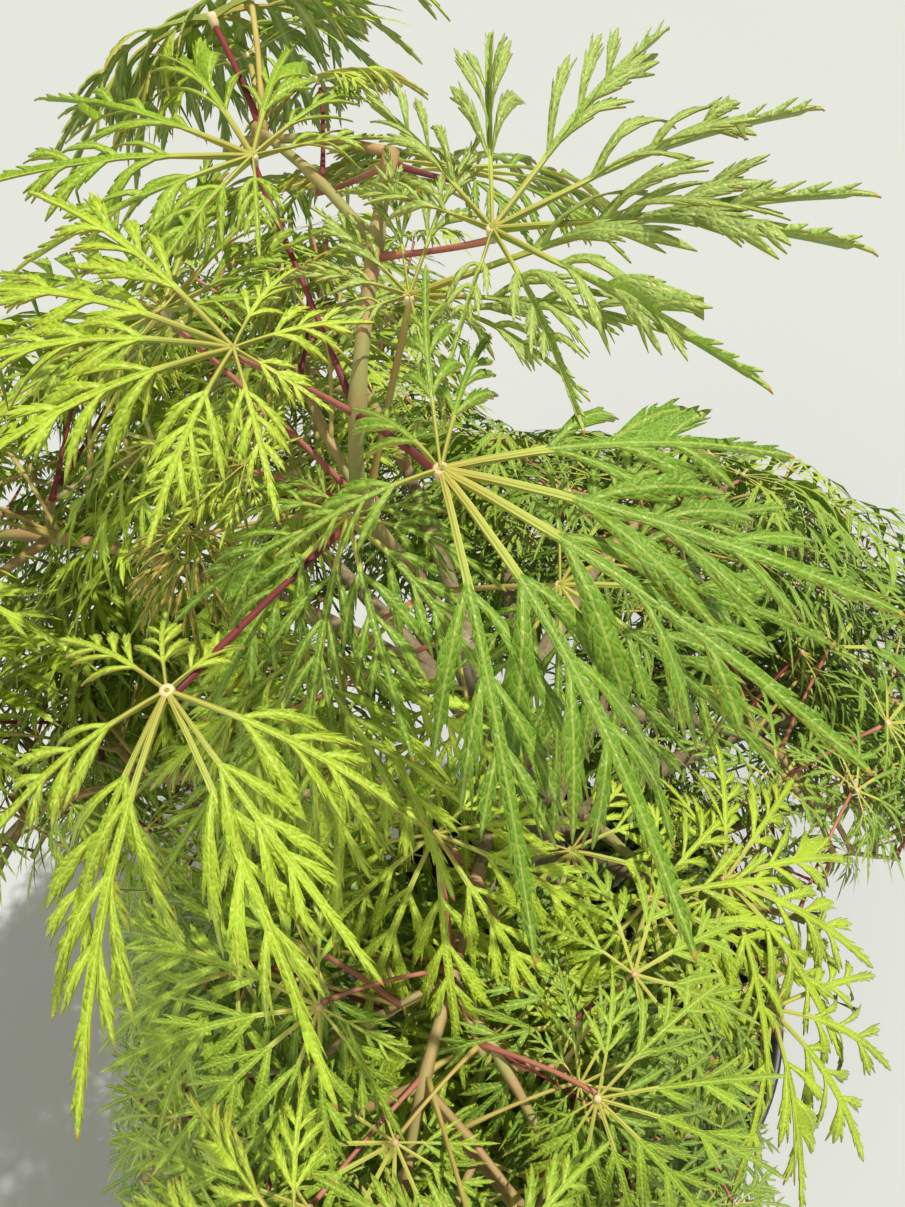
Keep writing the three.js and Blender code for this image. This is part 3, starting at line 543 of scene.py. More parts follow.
def fan(at, heading, face, size, droop, spread, lift, count=LOBES):
    """A leaf whose lobes spread evenly from one junction."""
    normal = unit(face)
    ahead = unit(heading - normal * (heading @ normal))
    across = np.cross(normal, ahead)
    order = np.arange(count) - (count - 1) // 2
    angle = (order * spread)[:, None]
    reach = ahead * np.cos(angle) + across * np.sin(angle) + normal * lift - UP * droop
    scale = size * np.array(LOBE_SHARE)[abs(order)] / np.sqrt(dots(reach, reach))
    tips = at + reach * scale[:, None]
    return {"at": at, "normal": normal, "lobes": list(zip(tips, (droop * scale).tolist()))}


def measured(at, tips):
    """A leaf given lobe by lobe."""
    lobes = [(at + vec(p), MEASURED_SAG * length_of(vec(p))) for p in tips]
    chords = [unit(tip - at) for tip, _ in lobes]
    normal = sum(np.cross(chord, chords[(i + 1) % len(chords)]) for i, chord in enumerate(chords))
    return {"at": at, "normal": unit(normal), "lobes": lobes}


def crowd_of(leaf, i):
    """The angle in the leaf's plane to a lobe's nearer neighbour."""
    count = len(leaf["lobes"])

    def chord(k):
        way = leaf["lobes"][k % count][0] - leaf["at"]
        return unit(way - leaf["normal"] * (way @ leaf["normal"]))

    own = chord(i)
    return min(math.acos(max(-1.0, min(1.0, float(own @ chord(k))))) for k in (i - 1, i + 1))


def leaf_size(leaf):
    """The length of a leaf's longest lobe."""
    return max(length_of(tip - leaf["at"]) for tip, _ in leaf["lobes"])


def no_bars():
    places = np.zeros((0, 3))
    return [places, places, np.zeros(0), places, places, np.zeros(0, bool)]


def bars_of(rows):
    """Clearance bars as arrays: ends, half width, side, face, and whether it is flat."""
    if not rows:
        return no_bars()
    zero = np.zeros(3)
    flat = [len(row) > 3 for row in rows]
    full = [row if is_flat else (*row, zero, zero) for row, is_flat in zip(rows, flat)]
    return [np.array(column, float) for column in zip(*full)] + [np.array(flat)]


def joined(many):
    return [np.concatenate(parts) for parts in zip(*many)] if many else no_bars()


def picked(bars, keep):
    return [part[keep] for part in bars]


def clearances(one, other):
    """The clear distance between each bar of one set and each of another."""
    a1, b1, w1, s1, f1, flat1 = (part[:, None] for part in one)
    a2, b2, w2, s2, f2, flat2 = (part[None] for part in other)
    u, v, w = b1 - a1, b2 - a2, a1 - a2
    a, b, c, d, e = dots(u, u), dots(u, v), dots(v, v), dots(u, w), dots(v, w)
    level = a * c - b * b
    s = np.where(level > 1e-9, np.clip((b * e - c * d) / np.where(level > 1e-9, level, 1), 0, 1), 0)
    t = np.clip((b * s + e) / c, 0, 1)
    s = np.clip((b * t - d) / a, 0, 1)
    apart = w + u * s[..., None] - v * t[..., None]
    distance = np.sqrt(dots(apart, apart))
    way = apart / np.maximum(distance, 1e-12)[..., None]
    reach1 = np.where(flat1, w1 * abs(dots(way, s1)) + LEAF_HALF_THICKNESS * abs(dots(way, f1)), w1)
    reach2 = np.where(flat2, w2 * abs(dots(way, s2)) + LEAF_HALF_THICKNESS * abs(dots(way, f2)), w2)
    return np.where(distance < 1e-6, -1, distance - reach1 - reach2)


def leaf_bars(leaf):
    rows = []
    at, normal = leaf["at"], leaf["normal"]
    for i, (tip, sag) in enumerate(leaf["lobes"]):
        side = unit(np.cross(normal, tip - at))
        length = length_of(tip - at)
        width = length * min(LOBE_HALF_WIDTH, CROWDING * WIDEST_AT * crowd_of(leaf, i))
        middle = (at + tip) / 2 + UP * sag * 0.25
        rows.append((at, middle, width * 0.9, side, unit(np.cross(middle - at, side))))
        rows.append((middle, tip, width, side, unit(np.cross(tip - middle, side))))
    return bars_of(rows)


def try_leaf(seed, line, joint, hand, scale, few_share, stalk_scale=1.0):
    """One try at a leaf on its site."""
    draw = seeded(seed)
    place, direction = line[joint]
    outward = outward_from(place)
    petiole = across_of(direction) * hand * drawn((0.45, 0.5), draw)
    petiole = petiole + direction * drawn((0.2, 0.5), draw)
    petiole = petiole + UP * drawn((0.1, 0.75), draw)
    petiole = petiole + outward * drawn((0.1, 0.35), draw)
    petiole = unit(petiole + wobble(draw) * 0.3)
    at = place + petiole * drawn((34, 24), draw) * stalk_scale
    face = UP * 0.85 + outward * drawn((0.2, 0.5), draw)
    face = face + wobble(draw) * 0.35
    heading = petiole + outward * 0.3
    heading = (heading + wobble(draw) * 0.5) * (1, 1, 0)
    size = drawn((68, 20), draw) * scale
    spread = drawn((30, 4), draw) * math.pi / 180
    droop = drawn((0.35, 0.5), draw)
    lift = drawn((0.05, 0.15), draw)
    few = draw() < few_share
    turn = spread * FEW_LOBES_SPREAD if few else spread
    leaf = fan(at, heading, face, size, droop, turn, lift, LOBES - 2 if few else LOBES)
    leaf["foot"] = foot_on([p for p, _ in line], joint)
    return leaf


def from_eye(points):
    """Each point's depth from the camera, and its slopes to the right and downwards."""
    away = points - vec(EYE)
    depth = away[:, 1] * math.cos(EYE_PITCH) - away[:, 2] * math.sin(EYE_PITCH)
    rise = away[:, 1] * math.sin(EYE_PITCH) + away[:, 2] * math.cos(EYE_PITCH)
    return depth, away[:, 0] / depth, -rise / depth


def stands_free(leaf):
    """Whether a leaf keeps clear of the pot and the ground, and leaves the open windows open."""
    at = leaf["at"]
    arch = WIDEST_AT - WIDEST_AT**2
    points = [tip for tip, _ in leaf["lobes"]] + [at]
    points += [at + (tip - at) * WIDEST_AT + UP * sag * arch for tip, sag in leaf["lobes"]]
    p = np.array(points)
    over_pot = (p[:, 2] > POT_TOP) | (np.hypot(p[:, 0], p[:, 1]) > POT_REACH)
    if not np.all((p[:, 2] > LOWEST_LEAF) & over_pot):
        return False
    _, right, down = from_eye(p)
    for (r0, r1), (d0, d1) in OPEN_WINDOWS:
        if np.any((right > r0) & (right < r1) & (down > d0) & (down < d1)):
            return False
    return True


def leaf_samples(leaf):
    """Points along a leaf's lobes and its petiole."""
    at, foot = leaf["at"], leaf["foot"]
    tips = np.array([tip for tip, _ in leaf["lobes"]])
    sags = np.array([sag for _, sag in leaf["lobes"]])
    s = SAMPLES[None, :, None]
    points = at + (tips[:, None] - at) * s + UP * sags[:, None, None] * (s - s * s)
    petiole = foot + (at - foot) * PETIOLE_SAMPLES[:, None]
    return np.vstack((points.reshape(-1, 3), petiole))


def grow_twiglets(name, mass):
    """Finer twigs from a mass's joints, each a list of (place, direction)."""
    draw = seeded((MASSES[name][0] if name in MASSES else LEADER_SEED) + FINE_SEED)
    parents = [(line, joint) for line in mass["sides"] for joint in (2, 1)]
    parents += [(mass["stem"], joint) for joint in range(2, len(mass["stem"]))] * 2
    found = []
    for line, joint in parents:
        start, ahead = line[joint]
        hand = 1 if draw() < 0.5 else -1
        way = across_of(ahead) * hand * (0.5 + 0.5 * draw()) + ahead * (0.5 + 0.4 * draw())
        way = unit(way + UP * (0.5 * draw() - 0.2) + wobble(draw) * 0.5)
        twiglet = [(start, way)]
        for _ in range(2):
            way = unit(way - UP * 0.15 + wobble(draw) * 0.3)
            twiglet.append((twiglet[-1][0] + way * TWIGLET_INTERNODE * (0.8 + 0.4 * draw()), way))
        found.append(twiglet)
    return found


class Crown:
    """The twigs and leaves of all masses, and what each new leaf must stand clear of."""

    def __init__(self):
        self.masses = {}
        line = trunk_line(TRUNK_RINGS)
        radii = (trunk_radius(i / TRUNK_RINGS, line[i][2]) + TRUNK_CLEAR for i in range(TRUNK_RINGS))
        rows = [(line[i], line[i + 1], radius) for i, radius in enumerate(radii)]
        for name, (_, _, _, radius) in BOUGHS.items():
            bough = bough_line(name)
            for i in range(BOUGH_RINGS):
                rows.append((bough[i], bough[i + 1], radius + (BOUGH_TIP_RADIUS - radius) * i / BOUGH_RINGS))
        self.limbs = bars_of(rows)
        self.blades = no_bars()
        self.blade_owner = np.zeros(0, int)
        self.stalks = no_bars()
        self.centres = np.zeros((0, 3))
        self.feet = np.zeros((0, 3))
        self.samples = np.zeros((0, 3))
        self.sample_owner = np.zeros(0, int)
        self.twig_bars = {}
        for name in MASSES:
            stem, sides = grow_twigs(name)
            self.masses[name] = {"stem": stem, "sides": sides, "leaves": [], "sites": leaf_sites(stem, sides)}
            self.twig_bars[name] = self.bars_along([stem] + sides)
        _, points = carry_on(line)
        shoot = points + [vec(p) for p in SHOOT]
        ways = [unit(shoot[min(i + 1, len(shoot) - 1)] - shoot[max(i - 1, 0)]) for i in range(len(shoot))]
        self.masses["leader"] = {"stem": list(zip(shoot, ways)), "sides": [], "leaves": [], "sites": []}
        self.twig_bars["leader"] = self.bars_along([self.masses["leader"]["stem"]])
        self.twigs = joined([self.limbs, *self.twig_bars.values()])
        owners = [""] * len(self.limbs[2])
        for name, bars in self.twig_bars.items():
            owners += [name] * len(bars[2])
        self.twig_owner = np.array(owners)
        for at, joint, tips in SHOOT_LEAVES:
            self.stand("leader", dict(measured(vec(at), tips), foot=foot_on(shoot, joint), front=True))
        for name, fans in [("leader", SHOOT_FANS), *SEEN_FANS.items()]:
            stem = [p for p, _ in self.masses[name]["stem"]]
            for at, joint, heading, face, size, droop in fans:
                leaf = fan(vec(at), vec(heading), vec(face), size, droop, SEEN_SPREAD, SEEN_LIFT)
                self.stand(name, dict(leaf, foot=foot_on(stem, joint), front=True))

    def bars_along(self, lines):
        pairs = ((line[i - 1][0], line[i][0]) for line in lines for i in range(1, len(line)))
        return bars_of([(start, stop, STEM_RADIUS) for start, stop in pairs])

    def stand(self, name, leaf):
        if "fine" not in leaf:
            bars = leaf.pop("bars", None) or leaf_bars(leaf)
            self.blades = joined([self.blades, bars])
            self.blade_owner = np.append(self.blade_owner, np.full(len(bars[2]), len(self.centres)))
            self.stalks = joined([self.stalks, bars_of([(leaf["foot"], leaf["at"], PETIOLE_RADIUS)])])
        samples = leaf_samples(leaf)
        self.samples = np.vstack((self.samples, samples))
        self.sample_owner = np.append(self.sample_owner, np.full(len(samples), len(self.centres)))
        self.centres = np.vstack((self.centres, leaf["at"]))
        self.feet = np.vstack((self.feet, leaf["foot"]))
        self.masses[name]["leaves"].append(leaf)

    def clear_of(self, leaf, name, clear):
        petiole = bars_of([(leaf["foot"], leaf["at"], PETIOLE_RADIUS)])
        at = leaf["at"]
        size = leaf_size(leaf)
        point = bars_of([(at, at + UP * GAP, 0.0)])
        twigs = self.twigs
        near = clearances(point, twigs[:5] + [np.zeros(len(twigs[2]), bool)])[0] < size
        if near.any():
            close = picked(twigs, near)
            if (clearances(leaf["bars"], close) < clear).any():
                return False
            others = self.twig_owner[near] != name
            if (clearances(petiole, close)[0][others] < clear).any():
                return False
        around = self.centres - at
        beside = dots(around, around) <= (size + NEAR) ** 2
        if not beside.any():
            return True
        stalks = picked(self.stalks, beside)
        feet = self.feet[beside] - leaf["foot"]
        if (clearances(petiole, stalks)[0][dots(feet, feet) > SAME_FOOT**2] < clear).any():
            return False
        blades = picked(self.blades, beside[self.blade_owner])
        if (clearances(petiole, blades) < clear).any() or (clearances(leaf["bars"], stalks) < clear).any():
            return False
        return not (clearances(leaf["bars"], blades) < clear).any()

    def broad_leaves(self):
        """The leaves that the part's solids have, in rounds over the masses."""
        rounds = max(len(mass["sites"]) for mass in self.masses.values())
        for order in range(rounds):
            for name, (seed, _, _, most) in MASSES.items():
                mass = self.masses[name]
                if order >= len(mass["sites"]) or len(mass["leaves"]) >= most:
                    continue
                twig, joint, hand = mass["sites"][order]
                line = mass["stem"] if twig < 0 else mass["sides"][twig]
                for attempt in range(TRIES):
                    start = seed * SEED_STEP + order * ORDER_STEP + attempt * TRY_STEP
                    leaf = try_leaf(start, line, joint, hand, 1 - 0.035 * attempt, FEW_LOBES_SHARE)
                    leaf["bars"] = leaf_bars(leaf)
                    if stands_free(leaf) and self.clear_of(leaf, name, CLEAR):
                        leaf["site"] = (twig, joint, hand)
                        self.stand(name, leaf)
                        break

    def fine_leaves(self, settings):
        """Carries each mass on to finer twigs and more leaves, within the crown's reach."""
        low = vec(CAD_LOW) / MM - CROWN_MARGIN
        high = vec(CAD_HIGH) / MM + CROWN_MARGIN
        for name in self.masses:
            mass = self.masses[name]
            points = [tip for leaf in mass["leaves"] for tip, _ in leaf["lobes"]]
            points += [p for p, _ in mass["stem"]]
            mass["low"] = np.maximum(np.min(points, axis=0) - REACH_MARGIN, low)
            mass["high"] = np.minimum(np.max(points, axis=0) + REACH_MARGIN, high)
            mass["twiglets"] = grow_twiglets(name, mass)
            mass["fine_sites"] = self.fine_sites(name)
        for name, fans in HANGING_FANS.items():
            for at, (kind, i, joint), heading, face, size, droop in fans:
                leaf = fan(vec(at), vec(heading), vec(face), size, droop, SEEN_SPREAD, SEEN_LIFT)
                line, joint, _ = self.line_of(name, (kind, i, joint, 0))
                foot = foot_on([p for p, _ in line], joint)
                self.stand(name, dict(leaf, foot=foot, fine=True, front=True))
                self.masses[name].setdefault("used", {})[(kind, i, joint, 0)] = 1
        for turn, (scale, tries) in enumerate(FINE_TURNS):
            rounds = max(len(mass["fine_sites"]) for mass in self.masses.values())
            for order in range(rounds):
                for name, mass in self.masses.items():
                    if order >= len(mass["fine_sites"]) or len(mass["leaves"]) >= settings.leaves_in_mass:
                        continue
                    self.try_fine(name, mass["fine_sites"][order], (turn, order), scale, tries)

    def fine_sites(self, name):
        mass = self.masses[name]
        taken = {leaf.get("site") for leaf in mass["leaves"]}
        sites = [(i, joint, hand) for i, line in enumerate(mass["twiglets"])
                 for joint in range(len(line) - 1, 0, -1) for hand in (1, -1)]
        found = [("twiglet", *site) for site in sites]
        last = len(mass["stem"]) - 1
        broad = mass["sites"] or [(-1, joint, hand) for joint in range(last, 1, -1) for hand in (-1, 1)]
        return [("twig", *site) for site in broad if site not in taken] + found

    def line_of(self, name, site):
        mass = self.masses[name]
        kind, i, joint, hand = site
        if kind == "twiglet":
            return mass["twiglets"][i], joint, hand
        return (mass["stem"] if i < 0 else mass["sides"][i]), joint, hand

    def try_fine(self, name, site, turn_order, scale, tries):
        mass = self.masses[name]
        used = mass.setdefault("used", {})
        if used.get(site, 0) >= LEAVES_AT_SITE:
            return
        line, joint, hand = self.line_of(name, site)
        turn, order = turn_order
        seed = (MASSES[name][0] if name in MASSES else LEADER_SEED) * SEED_STEP + FINE_SEED
        for attempt in range(tries):
            start = seed + turn * TURN_STEP + order * ORDER_STEP + attempt * TRY_STEP
            size = scale * (1 - 0.03 * attempt)
            leaf = try_leaf(start, line, joint, hand, size, FINE_FEW_SHARE, 0.35 + 0.6 * size)
            points = np.array([tip for tip, _ in leaf["lobes"]] + [leaf["at"]])
            if (points < mass["low"]).any() or (points > mass["high"]).any():
                continue
            if from_eye(points)[0].min() < NEAREST_FINE_LEAF or not stands_free(leaf):
                continue
            if self.fine_clear(leaf):
                leaf["fine"] = True
                self.stand(name, leaf)
                used[site] = used.get(site, 0) + 1
                return

    def fine_clear(self, leaf):
        """Whether sample points on a leaf keep clear of all others and of the limbs and twigs."""
        points = leaf_samples(leaf) - leaf["at"]
        reach = np.linalg.norm(points, axis=1).max()
        around = self.centres - leaf["at"]
        beside = dots(around, around) < (reach + NEAR_FINE) ** 2
        others = self.samples[beside[self.sample_owner]] - leaf["at"]
        if len(others):
            if dots(others, others).min() < FINE_GAP**2:
                return False
            apart = dots(points, points)[:, None] + dots(others, others)[None] - 2 * points @ others.T
            if apart.min() < FINE_GAP**2:
                return False
        starts, ends = self.twigs[0] - leaf["at"], self.twigs[1] - leaf["at"]
        near = dots(starts, starts) < (reach + NEAR_TWIG) ** 2
        starts, along = starts[near], (ends - starts)[near]
        away = points[:, None] - starts[None]
        share = np.clip(dots(away, along[None]) / dots(along, along)[None], 0, 1)
        off = away - along[None] * share[..., None]
        return not (np.sqrt(dots(off, off)) < self.twigs[2][near] + FINE_CLEAR).any()


def strip_half_width(s):
    places, widths = zip(*STRIP)
    return float(np.interp(s, places, widths))


def toothed(samples, teeth, base, reach, rise, draw):
    """One edge of a blade as (along, half width): its samples and its forward pointing teeth."""
    edge = []
    left = sorted(teeth)
    for a, w in samples:
        while left and left[0] < a:
            tooth = left.pop(0)
            width = float(np.interp(tooth, [p[0] for p in samples], [p[1] for p in samples]))
            grown = 0.6 + 0.9 * draw()
            while edge and edge[-1][0] > tooth - base:
                edge.pop()
            edge += [(tooth - base, width * 0.95), (tooth + reach * grown * 0.5, width + rise * grown * 0.8),
                     (tooth + reach * grown, width + rise * grown), (tooth + 0.3 * base, width * 0.6)]
        if not edge or a > edge[-1][0] + 0.2 * base:
            edge.append((a, w))
    return edge


def lobule_outline(start, length, angle, half_width, teeth, hand, draw, kind):
    """A lobule's outline in the lobe's plane."""
    places = [0.3 + 0.46 * (k + 0.5) / teeth for k in range(teeth)]
    samples = [(a, w * half_width) for a, w in LOBULE_SHAPES[kind]]
    base = 0.2 / max(teeth, 1) + 0.02
    reach = TOOTH_REACH / length
    edges = []
    for _ in range(2):
        shifted = [p + 0.07 * (draw() - 0.5) for p in places]
        edges.append(toothed(samples, shifted, base, reach, TOOTH_RISE, draw))
    outline = [(a, w) for a, w in edges[0]] + [(1.0, 0.0)] + [(a, -w) for a, w in reversed(edges[1])]
    c, s = math.cos(math.radians(angle)), math.sin(math.radians(angle))
    turned = []
    for a, w in outline:
        a_long, w = a * length, w - LOBULE_BEND * length * a * a
        turned.append((start + a_long * c - w * s, hand * (a_long * s + w * c)))
    return turned if hand > 0 else turned[::-1]


class LobePattern:
    """A lobe cut out flat: its points, triangles and outline, and which lobule each point is on."""

    def __init__(self, kind, seed):
        draw = seeded(seed)
        outlines, self.lobules = [self.strip_outline(kind, draw)], []
        for start, length, angle, half_width, teeth in LOBULES[kind]:
            for hand in (1, -1):
                begin = start + 0.035 * (draw() - 0.5)
                long = length * (0.86 + 0.24 * draw())
                turn = angle + 10 * (draw() - 0.5)
                wide = half_width * (0.92 + 0.16 * draw())
                outlines.append(lobule_outline(begin, long, turn, wide, teeth, hand, draw, kind))
                self.lobules.append((begin, long, math.radians(turn), wide, hand))
        self.weave(outlines, self.ridge_lines() if kind == "fine" else [])
        self.sort_points()

    def strip_outline(self, kind, draw):
        samples = [STRIP[i] for i in STRIP_PICKS[kind]] + list(STRIP_ENDS[kind])
        edges = []
        for _ in range(2):
            places = [p + 0.025 * (draw() - 0.5) for p in STRIP_TEETH[kind]]
            edges.append(toothed(samples, places, 0.02, 0.038, 0.008, draw))
        left, right = edges
        return [(a, -w) for a, w in left] + [(1.0, 0.0)] + [(a, w) for a, w in reversed(right)]

    def ridge_lines(self):
        lines = []
        for side in (-1, 0, 1):
            steps = [0.02 + 0.9 * k / 9 for k in range(10)]
            lines.append([(s, side * RIDGE_HALF_WIDTH * (1.25 - s)) for s in steps])
        return lines

    def weave(self, outlines, lines):
        points, faces, edges = [], [], []
        for outline in outlines:
            faces.append(list(range(len(points), len(points) + len(outline))))
            points += outline
        for line in lines:
            edges += [(len(points) + k, len(points) + k + 1) for k in range(len(line) - 1)]
            points += line
        made = delaunay_2d_cdt([Vector(p) for p in points], edges, faces, 1, WEAVE_EPSILON)
        flat = np.array([tuple(p) for p in made[0]], float)
        kept = []
        for a, b, c in made[2]:
            (x1, y1), (x2, y2) = flat[b] - flat[a], flat[c] - flat[a]
            area = x1 * y2 - y1 * x2
            if abs(area) > 1e-8:
                kept.append((a, b, c) if area > 0 else (a, c, b))
        used = sorted({i for face in kept for i in face})
        place = {old: new for new, old in enumerate(used)}
        self.points = flat[used]
        self.triangles = np.array([[place[i] for i in face] for face in kept])
        ways = {(int(f[k]), int(f[(k + 1) % 3])) for f in self.triangles for k in range(3)}
        self.rim = np.array(sorted(e for e in ways if (e[1], e[0]) not in ways))

    def sort_points(self):
        """Which lobule each point is on, how far along it and how far off its axis."""
        s, x = self.points.T
        on = np.full(len(s), -1)
        along, off = np.zeros(len(s)), np.zeros(len(s))
        strip = np.array([strip_half_width(v) for v in s])
        nearest = np.full(len(s), 1e9)
        for i, (start, length, angle, wide, hand) in enumerate(self.lobules):
            c, sn = math.cos(angle), math.sin(angle)
            t = (s - start) * c + x * hand * sn
            q = (x * hand) * c - (s - start) * sn + LOBULE_BEND * t * t / length
            edge = strip_half_width(start) / sn
            inside = (x * hand > strip * 1.02) & (t > 0) & (t < length * 1.05) & (abs(q) < wide * 2.2)
            better = inside & (abs(q) < nearest)
            on[better] = i
            along[better] = np.maximum(0, t - edge)[better]
            off[better] = q[better]
            nearest[better] = abs(q)[better]
        self.on, self.along, self.off = on, along, off
        ridge = RIDGE_HALF_WIDTH * (1.25 - s)
        self.ridge = np.clip(1 - abs(x) / ridge, 0, 1) * RIDGE_HEIGHT * (s < 0.95)
        middle = self.points[self.triangles].mean(axis=1)[:, 0]
        self.face_on = self.on[self.triangles].max(axis=1)
        self.is_stalk = (middle < STALK_END) & (self.face_on < 0)
        self.is_tip = middle > TIP_FROM

    def face_places(self):
        """For each triangle's corners: how far along and across its own strip or lobule, in shares."""
        corners = self.points[self.triangles].copy()
        for i, (start, length, angle, _, hand) in enumerate(self.lobules):
            mine = self.face_on == i
            s, x = corners[mine][..., 0] - start, corners[mine][..., 1] * hand
            c, sn = math.cos(angle), math.sin(angle)
            t = s * c + x * sn
            corners[mine] = np.stack((t, x * c - s * sn + LOBULE_BEND * t * t / length), axis=-1)
        return corners


@functools.lru_cache(maxsize=None)
def lobe_pattern(kind, seed):
    return LobePattern(kind, seed)


class Shell:
    """Triangles gathered with their materials and places, and made into one mesh at the end."""

    def __init__(self):
        self.count = 0
        self.points, self.faces, self.slots, self.places, self.smooth = [], [], [], [], []

    def add(self, points, faces, slots, places=None, smooth=True):
        faces = np.asarray(faces)
        self.points.append(np.asarray(points))
        self.faces.append(faces + self.count)
        self.count += len(points)
        self.slots.append(np.broadcast_to(slots, len(faces)))
        self.places.append(np.zeros((len(faces), 3, 2)) if places is None else places)
        self.smooth.append(np.broadcast_to(smooth, len(faces)))

    def mesh(self, name, materials):
        """One mesh in metres, from points in millimetres."""
        points = np.concatenate(self.points) * MM
        faces = np.concatenate(self.faces)
        made = bpy.data.meshes.new(name)
        made.vertices.add(len(points))
        made.loops.add(faces.size)
        made.polygons.add(len(faces))
        made.vertices.foreach_set("co", points.astype(np.float32).ravel())
        made.loops.foreach_set("vertex_index", faces.astype(np.int32).ravel())
        made.polygons.foreach_set("loop_start", np.arange(0, faces.size, 3, dtype=np.int32))
        made.polygons.foreach_set("material_index", np.concatenate(self.slots).astype(np.int32))
        made.update(calc_edges=True)
        made.polygons.foreach_set("use_smooth", np.concatenate(self.smooth))
        layer = made.uv_layers.new(name=PLACE_MAP)
        layer.data.foreach_set("uv", np.concatenate(self.places).astype(np.float32).ravel())
        for material in materials:
            made.materials.append(material)
        return made


def closed_sheet(pattern_faces, rim, count):
    """Faces of a sheet with a top, an underside and walls between: index arrays."""
    under = pattern_faces[:, ::-1] + count
    a, b = rim[:, 0], rim[:, 1]
    walls = np.concatenate((np.stack((b, a, a + count), axis=1), np.stack((b, a + count, b + count), axis=1)))
    return under, walls


def dealt(span, lobules, draw):
    """A drawn value for each lobule, and none for the strip."""
    return np.array([drawn(span, draw) for _ in lobules] + [0.0])


def bent_lobe(leaf, i, pattern, draw):
    """A lobe's points once it is folded, curled and hangs, their facing, and whether it is mirrored."""
    at, folded = leaf["at"], leaf.get("folded", 0.0)
    tip, sag = leaf["lobes"][i]
    chord = tip - at
    length = length_of(chord)
    side = unit(np.cross(leaf["normal"], chord))
    s, x = pattern.points.T
    mirrored = draw() < 0.5
    wide = min(1.0, 0.45 + crowd_of(leaf, i)) * (1 - 0.45 * folded)
    sway = 0.05 * (draw() - 0.5)
    roll = 0.5 * (draw() - 0.5)
    fold = 0.12 + 0.25 * draw() + 1.5 * folded
    rise = 0.35 * draw() - 0.08 + 0.4 * folded
    lift = rise + 0.36 * np.array([draw() - 0.5 for _ in pattern.lobules] + [0.0])
    curl = dealt((0.3, 1.1), pattern.lobules, draw)
    hang = dealt((0.2, 0.7), pattern.lobules, draw)
    tilt = np.array([1.1 * (draw() - 0.5) for _ in pattern.lobules] + [0.0])
    sv = s[:, None]
    line = at + chord * sv + UP * sag * (sv - sv * sv) + side * sway * length * np.sin(math.pi * sv)
    tangent = chord + UP * sag * (1 - 2 * sv) + side * sway * length * math.pi * np.cos(math.pi * sv)
    face = np.cross(tangent, side)
    face /= np.linalg.norm(face, axis=1)[:, None]
    turn = (roll * s)[:, None]
    across = side * np.cos(turn) + face * np.sin(turn)
    face = face * np.cos(turn) - side * np.sin(turn)
    t, q = pattern.along, pattern.off
    height = pattern.ridge + fold * np.minimum(abs(x), 0.034) * np.clip((s - 0.2) / 0.2, 0, 1)
    height = height + lift[pattern.on] * t - curl[pattern.on] * t * t
    height = height + tilt[pattern.on] * q * np.clip(t / 0.05, 0, 1)
    if mirrored:
        x = -x
    middle = line + across * (x * length * wide)[:, None] + face * (height * length)[:, None]
    return middle - UP * (hang[pattern.on] * t * t * length)[:, None], face, mirrored


def add_lobes(shell, leaf, kind, draw):
    """All lobes of a leaf, which run out from its junction: closed sheets if fine, else plain ones."""
    for i, (tip, _) in enumerate(leaf["lobes"]):
        pattern = lobe_pattern(kind, 1 + int(draw() * PATTERNS))
        middle, face, mirrored = bent_lobe(leaf, i, pattern, draw)
        faces, rim = pattern.triangles, pattern.rim
        places = pattern.face_places() * length_of(tip - leaf["at"])
        if mirrored:
            faces, rim, places = faces[:, ::-1], rim[:, ::-1], places[:, ::-1]
        slots = np.where(pattern.is_stalk, RIB_SLOT, leaf["tone"])
        if kind != "fine":
            shell.add(middle, faces, slots, places)
            continue
        share = np.clip(1 - pattern.points[:, 0] / 0.3, 0, 1)
        half = (BLADE_THICKNESS / 2 + (STALK_THICKNESS - BLADE_THICKNESS) / 2 * share)[:, None]
        under, walls = closed_sheet(faces, rim, len(middle))
        slots = np.where(pattern.is_tip, TIP_SLOT, slots)
        under_slots = np.where(pattern.is_stalk, RIB_SLOT, UNDER_SLOT)
        slots = np.concatenate((slots, under_slots, np.full(len(walls), RIM_SLOT)))
        flat = np.concatenate((places, places[:, ::-1], np.zeros((len(walls), 3, 2))))
        smooth = np.arange(len(slots)) < 2 * len(faces)
        points = np.concatenate((middle + face * half, middle - face * half))
        shell.add(points, np.concatenate((faces, under, walls)), slots, flat, smooth)


def add_hub(shell, leaf, sides, profile):
    """The small swollen ring where a leaf's lobes and its petiole meet."""
    at, normal = leaf["at"], leaf["normal"]
    across = unit(np.cross(normal, leaf["lobes"][0][0] - at))
    over = np.cross(normal, across)
    size = min(1.0, leaf_size(leaf) / FULL_HUB_LEAF)
    rows = [(r * size, h * size) for r, h in profile]
    angles = 2 * math.pi * np.arange(sides) / sides
    ways = np.cos(angles)[:, None] * across + np.sin(angles)[:, None] * over
    points = [at + ways * r + normal * h for r, h in rows]
    points = np.concatenate(points + [[at + normal * rows[0][1] * 0.6], [at + normal * rows[-1][1]]])
    faces = []
    for k in range(sides):
        n = (k + 1) % sides
        for row in range(len(rows) - 1):
            a, b = row * sides, (row + 1) * sides
            faces += [(a + k, b + k, b + n), (a + k, b + n, a + n)]
        top, bottom = len(rows) * sides, len(rows) * sides + 1
        last = (len(rows) - 1) * sides
        faces += [(top, k, n), (bottom, last + n, last + k)]
    shell.add(points, faces, HUB_SLOT)


def tint(code):
    """A linear colour from its six hex digits."""
    parts = (int(code[i:i + 2], 16) / 255 for i in (0, 2, 4))
    return tuple(c / 12.92 if c <= 0.04045 else ((c + 0.055) / 1.055) ** 2.4 for c in parts)


